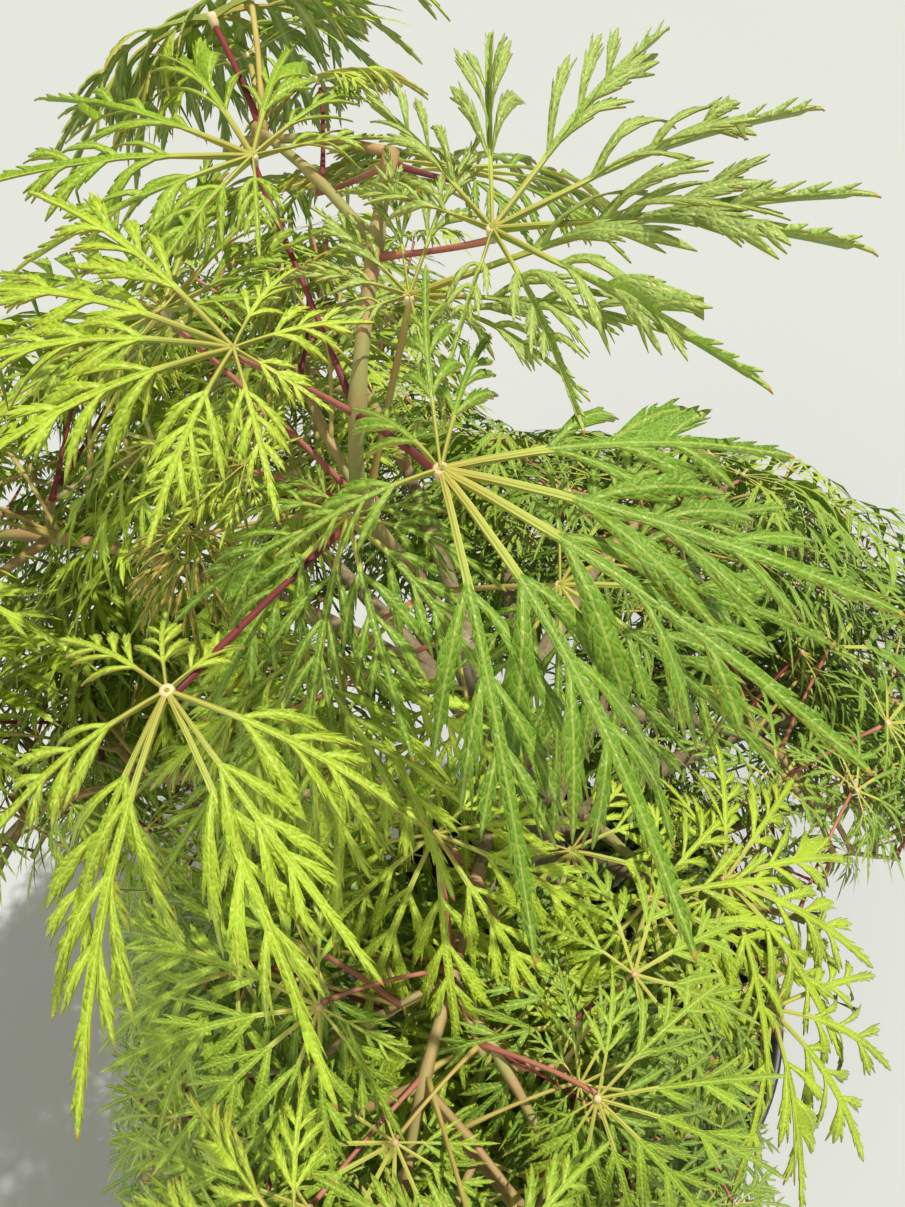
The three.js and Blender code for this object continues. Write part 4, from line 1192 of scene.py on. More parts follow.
def maths(operation, reflected=False):
    """An operator's method, which adds a Math node."""
    def method(self, other):
        pair = (other, self) if reflected else (self, other)
        return self.shader.calc(operation, *pair)

    return method


class Value:
    """A socket in shader maths, whose operators add Math nodes."""

    def __init__(self, shader, socket):
        self.shader = shader
        self.socket = socket

    __add__, __radd__ = maths("ADD"), maths("ADD", True)
    __sub__, __rsub__ = maths("SUBTRACT"), maths("SUBTRACT", True)
    __mul__, __rmul__ = maths("MULTIPLY"), maths("MULTIPLY", True)
    __truediv__, __rtruediv__ = maths("DIVIDE"), maths("DIVIDE", True)

    def __abs__(self):
        return self.shader.calc("ABSOLUTE", self)


class Shader:
    """A material's node tree, made through one call for each node."""

    def __init__(self, name):
        self.material = bpy.data.materials.new(name)
        self.material.use_nodes = True
        self.tree = self.material.node_tree
        self.tree.nodes.clear()

    @staticmethod
    def socket(sockets, key):
        if isinstance(key, int):
            return sockets[key]
        return next((s for s in sockets if s.identifier == key), None) or sockets[key]

    def node(self, kind, settings=None, sockets=None, out=0):
        made = self.tree.nodes.new(kind)
        for key, value in (settings or {}).items():
            setattr(made, key, value)
        for key, value in (sockets or {}).items():
            socket = self.socket(made.inputs, key)
            if isinstance(value, Value):
                self.tree.links.new(value.socket, socket)
            else:
                socket.default_value = (*value, 1) if socket.type == "RGBA" else value
        return Value(self, self.socket(made.outputs, out)) if len(made.outputs) else made

    def calc(self, operation, *values):
        return self.node("ShaderNodeMath", {"operation": operation}, dict(enumerate(values)))

    def mix(self, share, one, other):
        return self.node("ShaderNodeMix", {"data_type": "RGBA"},
                         {"Factor_Float": share, "A_Color": one, "B_Color": other}, "Result_Color")

    def step(self, value, low, high):
        """0 below low and 1 above high, smooth between."""
        return self.node("ShaderNodeMapRange", {"interpolation_type": "SMOOTHSTEP"},
                         {"Value": value, "From Min": low, "From Max": high})

    def where(self):
        return self.node("ShaderNodeTexCoord", out="Object")

    def scaled(self, vector, scale):
        return self.node("ShaderNodeVectorMath", {"operation": "MULTIPLY"}, {0: vector, 1: scale})

    def split(self, vector):
        first = self.node("ShaderNodeSeparateXYZ", None, {0: vector})
        return [Value(self, socket) for socket in first.socket.node.outputs]

    def combine(self, x, y, z=0.0):
        return self.node("ShaderNodeCombineXYZ", None, {0: x, 1: y, 2: z})

    def cloud(self, vector, scale, detail=2.0, rough=0.5):
        return self.node("ShaderNodeTexNoise", None,
                         {"Vector": vector, "Scale": scale, "Detail": detail, "Roughness": rough}, "Fac")

    def cells(self, vector, scale, feature="DISTANCE_TO_EDGE", dimensions="3D"):
        return self.node("ShaderNodeTexVoronoi", {"feature": feature, "voronoi_dimensions": dimensions},
                         {"Vector": vector, "Scale": scale}, "Distance")

    def bump(self, height, strength, distance):
        sockets = {"Height": height, "Strength": strength, "Distance": distance}
        return self.node("ShaderNodeBump", None, sockets)

    def finish(self, colour, roughness, normal=None, **constants):
        sockets = {"Base Color": colour, "Roughness": roughness}
        sockets.update({key.replace("_", " "): value for key, value in constants.items()})
        if normal is not None:
            sockets["Normal"] = normal
        surface = self.node("ShaderNodeBsdfPrincipled", None, sockets)
        self.node("ShaderNodeOutputMaterial", None, {"Surface": surface})
        return self.material


def blade_material(name, blade, deep, vein):
    """A leaf's skin: quilted between a midrib, side veins and a net of fine pale veins."""
    s = Shader(name)
    along, across, _ = s.split(s.node("ShaderNodeUVMap", {"uv_map": PLACE_MAP}))
    off = abs(across)
    sway = s.cloud(s.where(), 190.0, 1.0) - 0.5
    midrib = 1 - s.step(off, 0.16, 0.42)
    phase = s.calc("FRACT", (along - off * 1.35 + sway * 1.6) / 4.4)
    side = s.step(abs(phase - 0.5), 0.445, 0.482)
    edge = s.cells(s.combine(along * 0.56 + sway * 0.5, across * 0.82 + sway * 0.5), 1.0, dimensions="2D")
    web = 1 - s.step(edge, 0.012, 0.095)
    veins = s.calc("MAXIMUM", midrib, s.calc("MAXIMUM", side * 0.75, web * 0.42))
    patch = s.step(s.cloud(s.where(), 46.0, 2.0), 0.36, 0.66)
    skin = s.mix(veins * 0.85, s.mix(patch, blade, deep), vein)
    quilt = s.step(edge, 0.0, 0.34) - midrib * 0.8
    return s.finish(skin, 0.5 - 0.1 * veins, s.bump(quilt, 0.42, 0.0005),
                    Specular_IOR_Level=0.36, Subsurface_Weight=0.25, Subsurface_Scale=0.0012,
                    Subsurface_Radius=(0.6, 1.0, 0.15))


def under_material(name, blade, vein):
    """A leaf's paler, duller underside with its midrib raised."""
    s = Shader(name)
    along, across, _ = s.split(s.node("ShaderNodeUVMap", {"uv_map": PLACE_MAP}))
    off = abs(across)
    midrib = 1 - s.step(off, 0.2, 0.55)
    phase = s.calc("FRACT", (along - off * 1.35) / 4.4)
    side = s.step(abs(phase - 0.5), 0.43, 0.48) * 0.6
    veins = s.calc("MAXIMUM", midrib, side)
    mottled = s.mix(s.cloud(s.where(), 300.0, 2.0) * 0.5, blade, vein)
    return s.finish(s.mix(veins, mottled, vein), 0.62, s.bump(veins, 0.4, 0.0004), Specular_IOR_Level=0.3)


def rib_material(name, pale, warm):
    """The stalk-like foot of a lobe: three parallel ribs, warmer near the junction."""
    s = Shader(name)
    along, across, _ = s.split(s.node("ShaderNodeUVMap", {"uv_map": PLACE_MAP}))
    ribs = 0.5 + 0.5 * s.calc("COSINE", across * 6.3)
    near = 1 - s.step(along, 3.0, 16.0)
    speck = s.cloud(s.where(), 900.0, 2.0)
    colour = s.mix(near * 0.35 + (1 - ribs) * 0.3, pale, warm)
    return s.finish(colour, 0.55, s.bump(ribs + speck * 0.3, 0.5, 0.0004), Specular_IOR_Level=0.35)


def skin_material(name, base, other, scale=240.0, rough=0.5, stretch=(1, 1, 1), bump=0.25):
    """A plain plant skin with two tones, fine specks and a slight relief."""
    s = Shader(name)
    place = s.scaled(s.where(), stretch)
    tone = s.step(s.cloud(place, scale * 0.25, 2.0), 0.35, 0.65)
    speck = s.cloud(place, scale * 3, 2.0)
    return s.finish(s.mix(tone * 0.8 + speck * 0.2, base, other), rough + 0.15 * speck,
                    s.bump(speck, bump, 0.0003), Specular_IOR_Level=0.4)


def bark_material(name, base, pale, dark):
    """Smooth maple bark: fine upright streaks, pale lenticels and creases darkened with painted shade."""
    s = Shader(name)
    where = s.where()
    streak = s.cloud(s.scaled(where, (1, 1, 0.12)), 420.0, 4.0, 0.65)
    patch = s.step(s.cloud(where, 34.0, 3.0), 0.38, 0.64)
    spots = s.cells(s.scaled(where, (1, 1, 2.6)), 120.0, "F1")
    lenticel = 1 - s.step(spots, 0.1, 0.2)
    crease_and_shade = 1 - s.step(s.cloud(s.scaled(where, (1, 1, 0.22)), 130.0, 3.0, 0.6), 0.3, 0.44)
    colour = s.mix(patch, base, pale)
    colour = s.mix(s.step(streak, 0.35, 0.7) * 0.5, colour, dark)
    # The creases are darkened towards the dark colour: painted shade
    colour = s.mix(lenticel * 0.8, s.mix(crease_and_shade * 0.75, colour, dark), pale)
    height = streak * 0.5 + lenticel * 0.6 - crease_and_shade * 0.9
    return s.finish(colour, 0.72 + 0.12 * streak, s.bump(height, 0.6, 0.0008), Specular_IOR_Level=0.3)


def plastic_material(name, base, dust):
    """Moulded black plastic: fine grain, scuffs and dust that gathers low down."""
    s = Shader(name)
    where = s.where()
    grain = s.cloud(where, 1500.0, 2.0)
    scuff = s.step(s.cloud(s.scaled(where, (1, 1, 0.25)), 60.0, 5.0, 0.7), 0.6, 0.75)
    _, _, height = s.split(where)
    low = 1 - s.step(height, 0.0, 0.05)
    dirt = s.step(s.cloud(where, 26.0, 5.0, 0.65), 0.45, 0.75)
    share = s.calc("MINIMUM", dirt * 0.35 + dirt * low * 0.5 + scuff * 0.12, 0.8)
    return s.finish(s.mix(share, base, dust), 0.38 + 0.3 * share + 0.06 * grain,
                    s.bump(grain + scuff * 0.4, 0.16, 0.0004), Specular_IOR_Level=0.5)


def mulch_material(name, base, pale, dark):
    """Composted bark and peat."""
    s = Shader(name)
    where = s.where()
    tone = s.cloud(where, 140.0, 4.0, 0.7)
    fibre = s.cloud(s.scaled(where, (1, 3, 1)), 500.0, 4.0, 0.7)
    colour = s.mix(s.step(tone, 0.35, 0.65), dark, base)
    colour = s.mix(s.step(fibre, 0.58, 0.8), colour, pale)
    return s.finish(colour, 0.9, s.bump(fibre + tone, 0.8, 0.001), Specular_IOR_Level=0.2)


def plain_material(name, colour, roughness):
    s = Shader(name)
    tone = s.cloud(s.where(), 3.0, 3.0)
    darker = tuple(0.9 * c for c in colour)
    return s.finish(s.mix(tone * 0.12, colour, darker), roughness, Specular_IOR_Level=0.3)


class Tree:
    """A geometry node tree made through one call for each node."""

    def __init__(self, name):
        self.tree = bpy.data.node_groups.new(name, "GeometryNodeTree")
        self.ids = {}
        self.input = self.tree.nodes.new("NodeGroupInput")
        self.output = self.tree.nodes.new("NodeGroupOutput")

    def socket(self, name, kind, default=None, way="INPUT"):
        made = self.tree.interface.new_socket(name, in_out=way, socket_type=kind)
        if default is not None:
            made.default_value = default
        self.ids[name] = made.identifier
        return self.input.outputs[name] if way == "INPUT" else None

    def node(self, kind, settings=None, sockets=None, out=0):
        made = self.tree.nodes.new(kind)
        for key, value in (settings or {}).items():
            setattr(made, key, value)
        for key, value in (sockets or {}).items():
            socket = Shader.socket(made.inputs, key)
            if isinstance(value, bpy.types.NodeSocket):
                self.tree.links.new(value, socket)
            else:
                socket.default_value = value
        return Shader.socket(made.outputs, out)

    def end(self, geometry, material):
        """Realizes the instances, sets the material and ends the tree."""
        real = self.node("GeometryNodeRealizeInstances", None, {"Geometry": geometry})
        dressed = self.node("GeometryNodeSetMaterial", None, {"Geometry": real, "Material": material})
        self.tree.links.new(dressed, self.output.inputs[0])


def evaluated_mesh(obj):
    """The plain mesh of an object with its modifiers."""
    graph = bpy.context.evaluated_depsgraph_get()
    return bpy.data.meshes.new_from_object(obj.evaluated_get(graph), depsgraph=graph)


def discard(obj):
    """Removes an object and its data."""
    data = obj.data
    bpy.data.objects.remove(obj)
    (bpy.data.curves if isinstance(data, bpy.types.Curve) else bpy.data.meshes).remove(data)


def baked(obj, tree, values):
    """The plain mesh that a node tree makes of an object; the object is removed."""
    modifier = obj.modifiers.new("Nodes", "NODES")
    modifier.node_group = tree.tree
    for name, value in values.items():
        modifier[tree.ids[name]] = value
    bpy.context.view_layer.update()
    made = evaluated_mesh(obj)
    discard(obj)
    return made


@functools.lru_cache(maxsize=None)
def tube_tree():
    """A round limb along each path, with a bark's small swellings."""
    t = Tree("Limb along a path")
    t.socket("Geometry", "NodeSocketGeometry", way="OUTPUT")
    path = t.socket("Path", "NodeSocketGeometry")
    sides = t.socket("Sides", "NodeSocketInt", 6)
    relief = t.socket("Relief", "NodeSocketFloat", 0.0)
    scale = t.socket("Relief scale", "NodeSocketFloat", 200.0)
    material = t.socket("Material", "NodeSocketMaterial")
    ring = t.node("GeometryNodeCurvePrimitiveCircle", None, {"Resolution": sides, "Radius": 1.0})
    wide = t.node("GeometryNodeInputRadius")
    body = t.node("GeometryNodeCurveToMesh", None,
                  {"Curve": path, "Profile Curve": ring, "Scale": wide, "Fill Caps": True})
    smooth = t.node("GeometryNodeSetShadeSmooth", None, {"Geometry": body})
    place = t.node("GeometryNodeInputPosition")
    wave = t.node("ShaderNodeTexNoise", None, {"Vector": place, "Scale": scale, "Detail": 2.0}, "Fac")
    centred = t.node("ShaderNodeMath", {"operation": "SUBTRACT"}, {0: wave, 1: 0.5})
    amount = t.node("ShaderNodeMath", {"operation": "MULTIPLY"}, {0: centred, 1: relief})
    out = t.node("GeometryNodeInputNormal")
    offset = t.node("ShaderNodeVectorMath", {"operation": "SCALE"}, {0: out, "Scale": amount})
    moved = t.node("GeometryNodeSetPosition", None, {"Geometry": smooth, "Offset": offset})
    t.end(moved, material)
    return t


def tubes(paths, sides, material, relief=0.0, scale=200.0):
    """The mesh of round limbs along paths, each a list of points and a list of radii in millimetres."""
    curve = bpy.data.curves.new("paths", "CURVE")
    curve.dimensions = "3D"
    for points, radii in paths:
        spline = curve.splines.new("POLY")
        spline.points.add(len(points) - 1)
        flat = np.column_stack((np.array(points) * MM, np.ones(len(points))))
        spline.points.foreach_set("co", flat.astype(np.float32).ravel())
        spline.points.foreach_set("radius", (np.array(radii) * MM).astype(np.float32))
    obj = bpy.data.objects.new("paths", curve)
    bpy.context.scene.collection.objects.link(obj)
    values = {"Sides": sides, "Relief": relief * MM, "Relief scale": scale, "Material": material}
    return baked(obj, tube_tree(), values)


def joined_meshes(name, meshes):
    """One mesh of several, each with its own material."""
    points, faces, slots, materials, start = [], [], [], [], 0
    for mesh in meshes:
        mesh.calc_loop_triangles()
        places = np.empty(len(mesh.vertices) * 3, np.float32)
        mesh.vertices.foreach_get("co", places)
        corners = np.empty(len(mesh.loop_triangles) * 3, np.int32)
        mesh.loop_triangles.foreach_get("vertices", corners)
        points.append(places.reshape(-1, 3) / MM)
        faces.append(corners.reshape(-1, 3) + start)
        slots.append(np.full(len(mesh.loop_triangles), len(materials)))
        start += len(mesh.vertices)
        materials.append(mesh.materials[0])
        bpy.data.meshes.remove(mesh)
    shell = Shell()
    shell.add(np.concatenate(points), np.concatenate(faces), np.concatenate(slots))
    return shell.mesh(name, materials)


def put(name, mesh, slot, *nodes):
    """Links a finished mesh as a piece that rides on the plant's one body."""
    obj = bpy.data.objects.new(name, mesh)
    bpy.context.scene.collection.objects.link(obj)
    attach(obj, "root")
    if nodes:
        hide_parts(*nodes)
    return obj


def smooth_path(points, steps=4):
    """A smooth line through points."""
    points = [vec(p) for p in points]
    count = (len(points) - 1) * steps
    return [centripetal(points, k / count) for k in range(count + 1)]


def node_radii(line, joints, start, stop, swell=0.32, reach=2.6):
    """Radii along a twig that taper and swell at its joints."""
    line = np.array(line)
    radii = start + (stop - start) * np.linspace(0, 1, len(line))
    for joint in joints:
        away = np.linalg.norm(line - joint, axis=1)
        radii = radii * (1 + swell * np.exp(-((away / reach) ** 2)))
    return radii


def twig_path(joints, start, stop):
    line = smooth_path(joints)
    return line, node_radii(line, joints[1:], start, stop)


def petiole_path(leaf, draw):
    foot, at, normal = leaf["foot"], leaf["at"], leaf["normal"]
    reach = at - foot
    length = length_of(reach)
    under = at - normal * PETIOLE_DROP
    bend = foot + reach * 0.6 + UP * length * drawn((0.05, 0.07), draw) - normal * PETIOLE_BOW
    steps = np.linspace(0, 1, len(PETIOLE_RADII))
    line = [foot * (1 - t) ** 2 + bend * 2 * t * (1 - t) + under * t * t for t in steps]
    size = min(1.0, 0.36 + leaf_size(leaf) / 140)
    return line, [radius * size for radius in PETIOLE_RADII]


def band(low, high):
    """Triangles between two rings of points, given by their numbers."""
    faces = []
    for k in range(len(low)):
        n = (k + 1) % len(low)
        faces += [(low[k], low[n], high[n]), (low[k], high[n], high[k])]
    return faces


def lathe(profile, sides):
    """A closed solid turned from a profile of (radius, height) that starts and ends on the axis."""
    angles = 2 * math.pi * np.arange(sides) / sides
    rows, points = [], []
    for radius, height in profile:
        if radius == 0:
            rows.append([len(points)] * sides)
            points.append((0, 0, height))
            continue
        rows.append(list(range(len(points), len(points) + sides)))
        points += list(zip(radius * np.cos(angles), radius * np.sin(angles), np.full(sides, height)))
    faces = [face for low, high in zip(rows, rows[1:]) for face in band(low, high)]
    return np.array(points), np.array([f for f in faces if len(set(f)) == 3])


def plain_mesh(name, points, faces, material, smooth=True):
    shell = Shell()
    shell.add(points, faces, 0, smooth=smooth)
    return shell.mesh(name, [material])


def inner_radius(height):
    return POT_BASE + (POT_TOP_RADIUS - POT_BASE) * height / POT_HEIGHT - POT_WALL


def arc(centre, radius, start, stop, steps=5):
    """Points of a profile's rounded corner, its angles in degrees."""
    turns = np.radians(np.linspace(start, stop, steps))
    return [(centre[0] + radius * math.cos(a), centre[1] + radius * math.sin(a)) for a in turns]


def pot_profile(settings):
    """The pot's section: a rolled rim over a thin tapering wall with a stepped foot."""
    recess, foot = FOOT_RECESS_RADII
    outer = [(0, FOOT_RECESS), (recess, FOOT_RECESS), (foot, 0), (POT_BASE - FOOT_CHAMFER, 0)]
    outer += arc((POT_BASE - FOOT_ROUND, FOOT_ROUND), FOOT_ROUND, -90, 0)
    outer += [(POT_BASE + 0.3, 18), (POT_BASE + 1.2, 20)]
    outer += [(inner_radius(h) + POT_WALL, h) for h in WALL_LEVELS]
    shoulder = POT_HEIGHT - RIM_HEIGHT
    under = inner_radius(shoulder) + POT_WALL
    outer += [(under, shoulder - 4), (under + 1.2, shoulder), (RIM_RADIUS - 2, shoulder)]
    outer += arc((RIM_RADIUS - 1.5, shoulder + 1.5), 1.5, -90, 0, 4)
    outer += [(RIM_RADIUS - inset, shoulder + rise) for inset, rise in ((0.4, 9), (0.9, 10.5), (0.2, 12))]
    bead = settings.rim_bead / MM
    outer += arc((RIM_RADIUS - bead, POT_HEIGHT - bead), bead, 0, 90, 6)
    inside = [(inner_radius(POT_HEIGHT) - RIM_LIP + POT_WALL + 1.2, POT_HEIGHT)]
    inside += [(inner_radius(265) + 0.6, 266.8)]
    inside += [(inner_radius(h), h) for h in LIP_LEVELS + WALL_LEVELS[::-1]]
    inside += arc((inner_radius(FLOOR_LEVEL) - FLOOR_ROUND, FLOOR_LEVEL), FLOOR_ROUND, 0, -90)
    return outer + inside + [(0, POT_FLOOR)]


def cut_drains(obj):
    """Opens the drain holes low in the pot's wall."""
    for i in range(DRAINS):
        angle = 2 * math.pi * (i + 0.5) / DRAINS
        place = (POT_BASE * MM * -math.sin(angle), POT_BASE * MM * math.cos(angle), DRAIN_LEVEL * MM)
        bpy.ops.mesh.primitive_cylinder_add(vertices=DRAIN_SIDES, radius=DRAIN_RADIUS * MM,
                                            depth=DRAIN_DEPTH * MM, location=place,
                                            rotation=(math.pi / 2, 0, angle))
        cutter = bpy.context.object
        cut = obj.modifiers.new("drain", "BOOLEAN")
        cut.operation, cut.solver, cut.object = "DIFFERENCE", "EXACT", cutter
        made = evaluated_mesh(obj)
        obj.modifiers.clear()
        old, obj.data = obj.data, made
        made.materials.clear()
        made.materials.append(old.materials[0])
        bpy.data.meshes.remove(old)
        discard(cutter)


def soil_height(radius):
    mound = (SOIL_MOUND, SOIL_LEVEL - SOIL_MOUND_DROP)
    levels = ((0, SOIL_LEVEL), (SOIL_FLAT, SOIL_LEVEL), mound, (160, SOIL_EDGE - 3.5))
    return float(np.interp(radius, *zip(*levels)))


def make_soil():
    """The soil's top from rings with lumps, closed down to the pot's floor."""
    edge = inner_radius(SOIL_EDGE) - 2 * GAP
    floor = POT_FLOOR + GAP
    profile = [(0, floor), (inner_radius(0) - FLOOR_ROUND - 1, floor)]
    profile += [(inner_radius(FLOOR_LEVEL) - 2 * GAP, FLOOR_LEVEL + 1), (edge, SOIL_EDGE)]
    radii = [edge * (1 - k / SOIL_RINGS) for k in range(1, SOIL_RINGS)]
    profile += [(radius, soil_height(radius)) for radius in radii]
    profile.append((0, SOIL_LEVEL))
    points, faces = lathe(profile, SOIL_SIDES)
    for p in points:
        if p[2] > SOIL_EDGE + 0.5:
            spot = Vector((p[0] / 9, p[1] / 9, 3.0))
            p[2] += 0.9 * noise.noise(spot) + 0.5 * noise.noise(spot * 3) - 0.6
    return points, faces


@functools.lru_cache(maxsize=None)
def chips_tree():
    """Chips scattered on a surface, each turned and sized by chance."""
    t = Tree("Scattered chips")
    t.socket("Geometry", "NodeSocketGeometry", way="OUTPUT")
    ground = t.socket("Ground", "NodeSocketGeometry")
    density = t.socket("Density", "NodeSocketFloat", 1.0)
    chip = t.socket("Chip", "NodeSocketObject")
    seed = t.socket("Seed", "NodeSocketInt", 7)
    small = t.socket("Smallest", "NodeSocketFloat", 0.4)
    large = t.socket("Largest", "NodeSocketFloat", 1.0)
    material = t.socket("Material", "NodeSocketMaterial")
    up = t.node("GeometryNodeInputNormal")
    height = t.node("ShaderNodeSeparateXYZ", None, {0: up}, "Z")
    above = {"data_type": "FLOAT", "operation": "GREATER_THAN"}
    top = t.node("FunctionNodeCompare", above, {0: height, 1: 0.5})
    scatter = t.node("GeometryNodeDistributePointsOnFaces", None,
                     {"Mesh": ground, "Density": density, "Seed": seed, "Selection": top}, "Points")
    shape = t.node("GeometryNodeObjectInfo", None, {"Object": chip}, "Geometry")
    turn = t.node("FunctionNodeRandomValue", {"data_type": "FLOAT_VECTOR"},
                  {"Min": (-0.5, -0.5, 0.0), "Max": (0.5, 0.5, 6.3), "Seed": seed})
    size = t.node("FunctionNodeRandomValue", {"data_type": "FLOAT"},
                  {"Min_001": small, "Max_001": large, "Seed": seed}, "Value_001")
    turned = t.node("FunctionNodeEulerToRotation", None, {"Euler": turn})
    laid = t.node("GeometryNodeInstanceOnPoints", None,
                  {"Points": scatter, "Instance": shape, "Rotation": turned, "Scale": size})
    t.end(laid, material)
    return t


def rough_chip(seed):
    """A small splintered chip of bark."""
    draw = seeded(seed)
    corners = []
    for z in (-1, 1):
        for k in range(6):
            a = math.pi * k / 3 + 0.5 * draw()
            r = 0.7 + 0.5 * draw()
            corners.append((r * math.cos(a) * 2.6, r * math.sin(a) * 1.4, z * (0.35 + 0.25 * draw())))
    faces = [(5, 4, 3), (5, 3, 0), (3, 2, 0), (2, 1, 0), (6, 7, 8), (6, 8, 9), (9, 10, 11), (9, 11, 6)]
    return np.array(corners), np.array(faces + band(range(6), range(6, 12)))


def trunk_mesh(name, material, settings):
    """The trunk: a flared, furrowed tube with the graft's swelling."""
    rings, sides = settings.trunk_rings, settings.trunk_sides
    line = np.array(trunk_line(rings))
    radii = [trunk_radius(i / rings, p[2]) for i, p in enumerate(line)]
    angles = 2 * math.pi * np.arange(sides) / sides
    ways = np.gradient(line, axis=0)
    points = []
    over = np.array((1.0, 0, 0))
    for p, way, radius in zip(line, ways, radii):
        way = unit(way)
        over = unit(over - way * (over @ way))
        side = np.cross(way, over)
        flare = FLARE_RADIUS * math.exp(-max(0.0, p[2] - SOIL_LEVEL) / FLARE_FALL)
        flare = flare * (1 + 0.3 * np.cos(FLARE_RIDGES * angles + 0.7))
        graft = math.exp(-(((p[2] - GRAFT_LEVEL) / GRAFT_FURROWS) ** 2))
        for a, extra in zip(angles, flare):
            spot = Vector((math.cos(a) * 2.2, math.sin(a) * 2.2, p[2] / 60))
            furrow = noise.fractal(spot, 0.9, 2.1, 4) * (0.5 + 1.3 * graft)
            lump = noise.noise(Vector((math.cos(a), math.sin(a), p[2] / 25))) * 0.7
            r = radius + extra + furrow + lump
            points.append(p + (over * math.cos(a) + side * math.sin(a)) * r)
    points = np.array(points)
    low = points[:, 2] < TRUNK_FOOT
    points[low, 2] = TRUNK_FOOT + 0.002 * (points[low, 2] - TRUNK_FOOT)
    rows = [range(row * sides, (row + 1) * sides) for row in range(rings + 1)]
    faces = [face for low, high in zip(rows, rows[1:]) for face in band(low, high)]
    top, bottom = len(points), len(points) + 1
    points = np.vstack((points, [line[-1] + unit(ways[-1]) * TRUNK_CAP], [[*line[0][:2], TRUNK_FOOT]]))
    for k in range(sides):
        n = (k + 1) % sides
        faces += [(top, rings * sides + k, rings * sides + n), (bottom, n, k)]
    return plain_mesh(name, points, np.array(faces), material)


def colour_setting(name, description, code):
    return bpy.props.FloatVectorProperty(
        name=name, description=description, default=tint(code), size=3, min=0.0, max=1.0, subtype="COLOR")


class MapleShape(bpy.types.PropertyGroup):
    leaves_in_mass: bpy.props.IntProperty(
        name="Leaves in a mass", description="The most leaves that one mass carries",
        default=38, min=6, max=60)
    trunk_rings: bpy.props.IntProperty(
        name="Trunk rings", description="Rings of faces up the trunk", default=260, min=40, max=500)
    trunk_sides: bpy.props.IntProperty(
        name="Trunk sides", description="Faces round the trunk", default=56, min=12, max=96)
    bark_relief: bpy.props.FloatProperty(
        name="Bark relief", description="How far the bark of boughs rises and falls", default=0.0011,
        min=0.0, max=0.003, subtype="DISTANCE", unit="LENGTH")
    rim_bead: bpy.props.FloatProperty(
        name="Rim bead", description="Radius of the pot's rolled edge", default=0.0024, min=0.001, max=0.004,
        subtype="DISTANCE", unit="LENGTH")
    chip_density: bpy.props.FloatProperty(
        name="Chip density", description="Chips to a square metre of soil",
        default=13000.0, min=0.0, max=60000.0)
    # The first five leaf colours are steps of painted light and shade, from sunlit leaves outside the crown
    # to shaded ones inside; silver and withered are leaves' own colours
    sunlit_leaf: colour_setting("Sunlit leaf", "Colour of the brightest leaves", "9fbc2c")
    fresh_leaf: colour_setting("Fresh leaf", "Colour of young leaves", "86a828")
    green_leaf: colour_setting("Green leaf", "Colour of full-grown leaves", "6a9224")
    deep_leaf: colour_setting("Deep leaf", "Colour of leaves low in the crown", "5c8222")
    shade_leaf: colour_setting("Shade leaf", "Colour of leaves inside the crown", "4a6a1d")
    silver_leaf: colour_setting("Silver leaf", "Colour of young leaves with fine hairs", "93ac56")
    withered_leaf: colour_setting("Withered leaf", "Colour of a leaf that dries up", "98863f")
    leaf_underside: colour_setting("Leaf underside", "Colour under a leaf", "8fae5e")
    lobe_stalk: colour_setting("Lobe stalk", "Colour of the bare foot of a lobe", "a9ba55")
    coral_petiole: colour_setting("Coral leaf stalk", "Colour of the pink leaf stalks", "b97c68")
    red_petiole: colour_setting("Red leaf stalk", "Colour of the red leaf stalks", "823338")
    tan_petiole: colour_setting("Tan leaf stalk", "Colour of the tan leaf stalks", "b9ad62")
    young_stem: colour_setting("Young stem", "Colour of the twigs", "b08a63")
    trunk_bark: colour_setting("Trunk bark", "Colour of the trunk", "8a7f6c")
    bough_bark: colour_setting("Bough bark", "Colour of the boughs", "86755a")
    pot_plastic: colour_setting("Pot", "Colour of the pot", "1d1e20")
    soil: colour_setting("Soil", "Colour of the soil", "3d2c20")
    bark_chip: colour_setting("Bark chip", "Colour of the chips on the soil", "5c402a")
    floor: colour_setting("Floor", "Colour of the floor", "b2b6bb")


@functools.lru_cache(maxsize=None)
def the_crown():
    """The crown with all its leaves, grown once."""
    crown = Crown()
    crown.broad_leaves()
    crown.fine_leaves(bpy.context.scene.maple_shape)
    deal_tones(crown)
    return crown


def deal_tones(crown):
    """Gives each leaf its place among the tones, by its height, its place in the crown and chance: painted
    light and shade, lighter for leaves high, outside and to the left, darker for those low and inside.
    """
    draw = seeded(TONE_SEED)
    for mass in crown.masses.values():
        for leaf in mass["leaves"]:
            away = (leaf["at"] - CROWN_CENTRE) / CROWN_SPAN
            light = length_of(away) * 1.7 + 1.5 * away[2] - 0.5 * away[0] + 1.3 * (draw() - 0.5)
            leaf["tone"] = int(np.clip(round(3.5 - light * 1.15), 0, DEALT_TONES - 1))
            # Every leaf in front is painted as sunlit, a painted light
            if leaf.get("front"):
                leaf["tone"] = TONES.index("sunlit")
            leaf["depth"] = float(from_eye(leaf["at"][None])[0][0])
    # The leader's leaves in front take listed tones: each its own colour with the painted light and shade
    # that falls on it
    for leaf, (tone, folded, stalk) in zip(crown.masses["leader"]["leaves"], LEADER_LOOKS):
        leaf["tone"], leaf["folded"], leaf["stalk"] = TONES.index(tone), folded, stalk


def blended(colour, other, share):
    return tuple(c + (o - c) * share for c, o in zip(colour, other))


def leaf_look(tone):
    """The skin of one tone of leaf, with darker patches and paler veins."""
    blade = tuple(getattr(bpy.context.scene.maple_shape, f"{tone}_leaf"))
    return blade_material(f"leaf_{tone}", blade, blended(blade, BLACK, 0.24), blended(blade, PALE_VEIN, 0.28))


def set_look(make, setting, *others):
    """A material that is named after its setting, takes its colour from it, and has other fixed colours."""
    colour = tuple(getattr(bpy.context.scene.maple_shape, setting))
    return make(setting, colour, *(tint(code) for code in others))


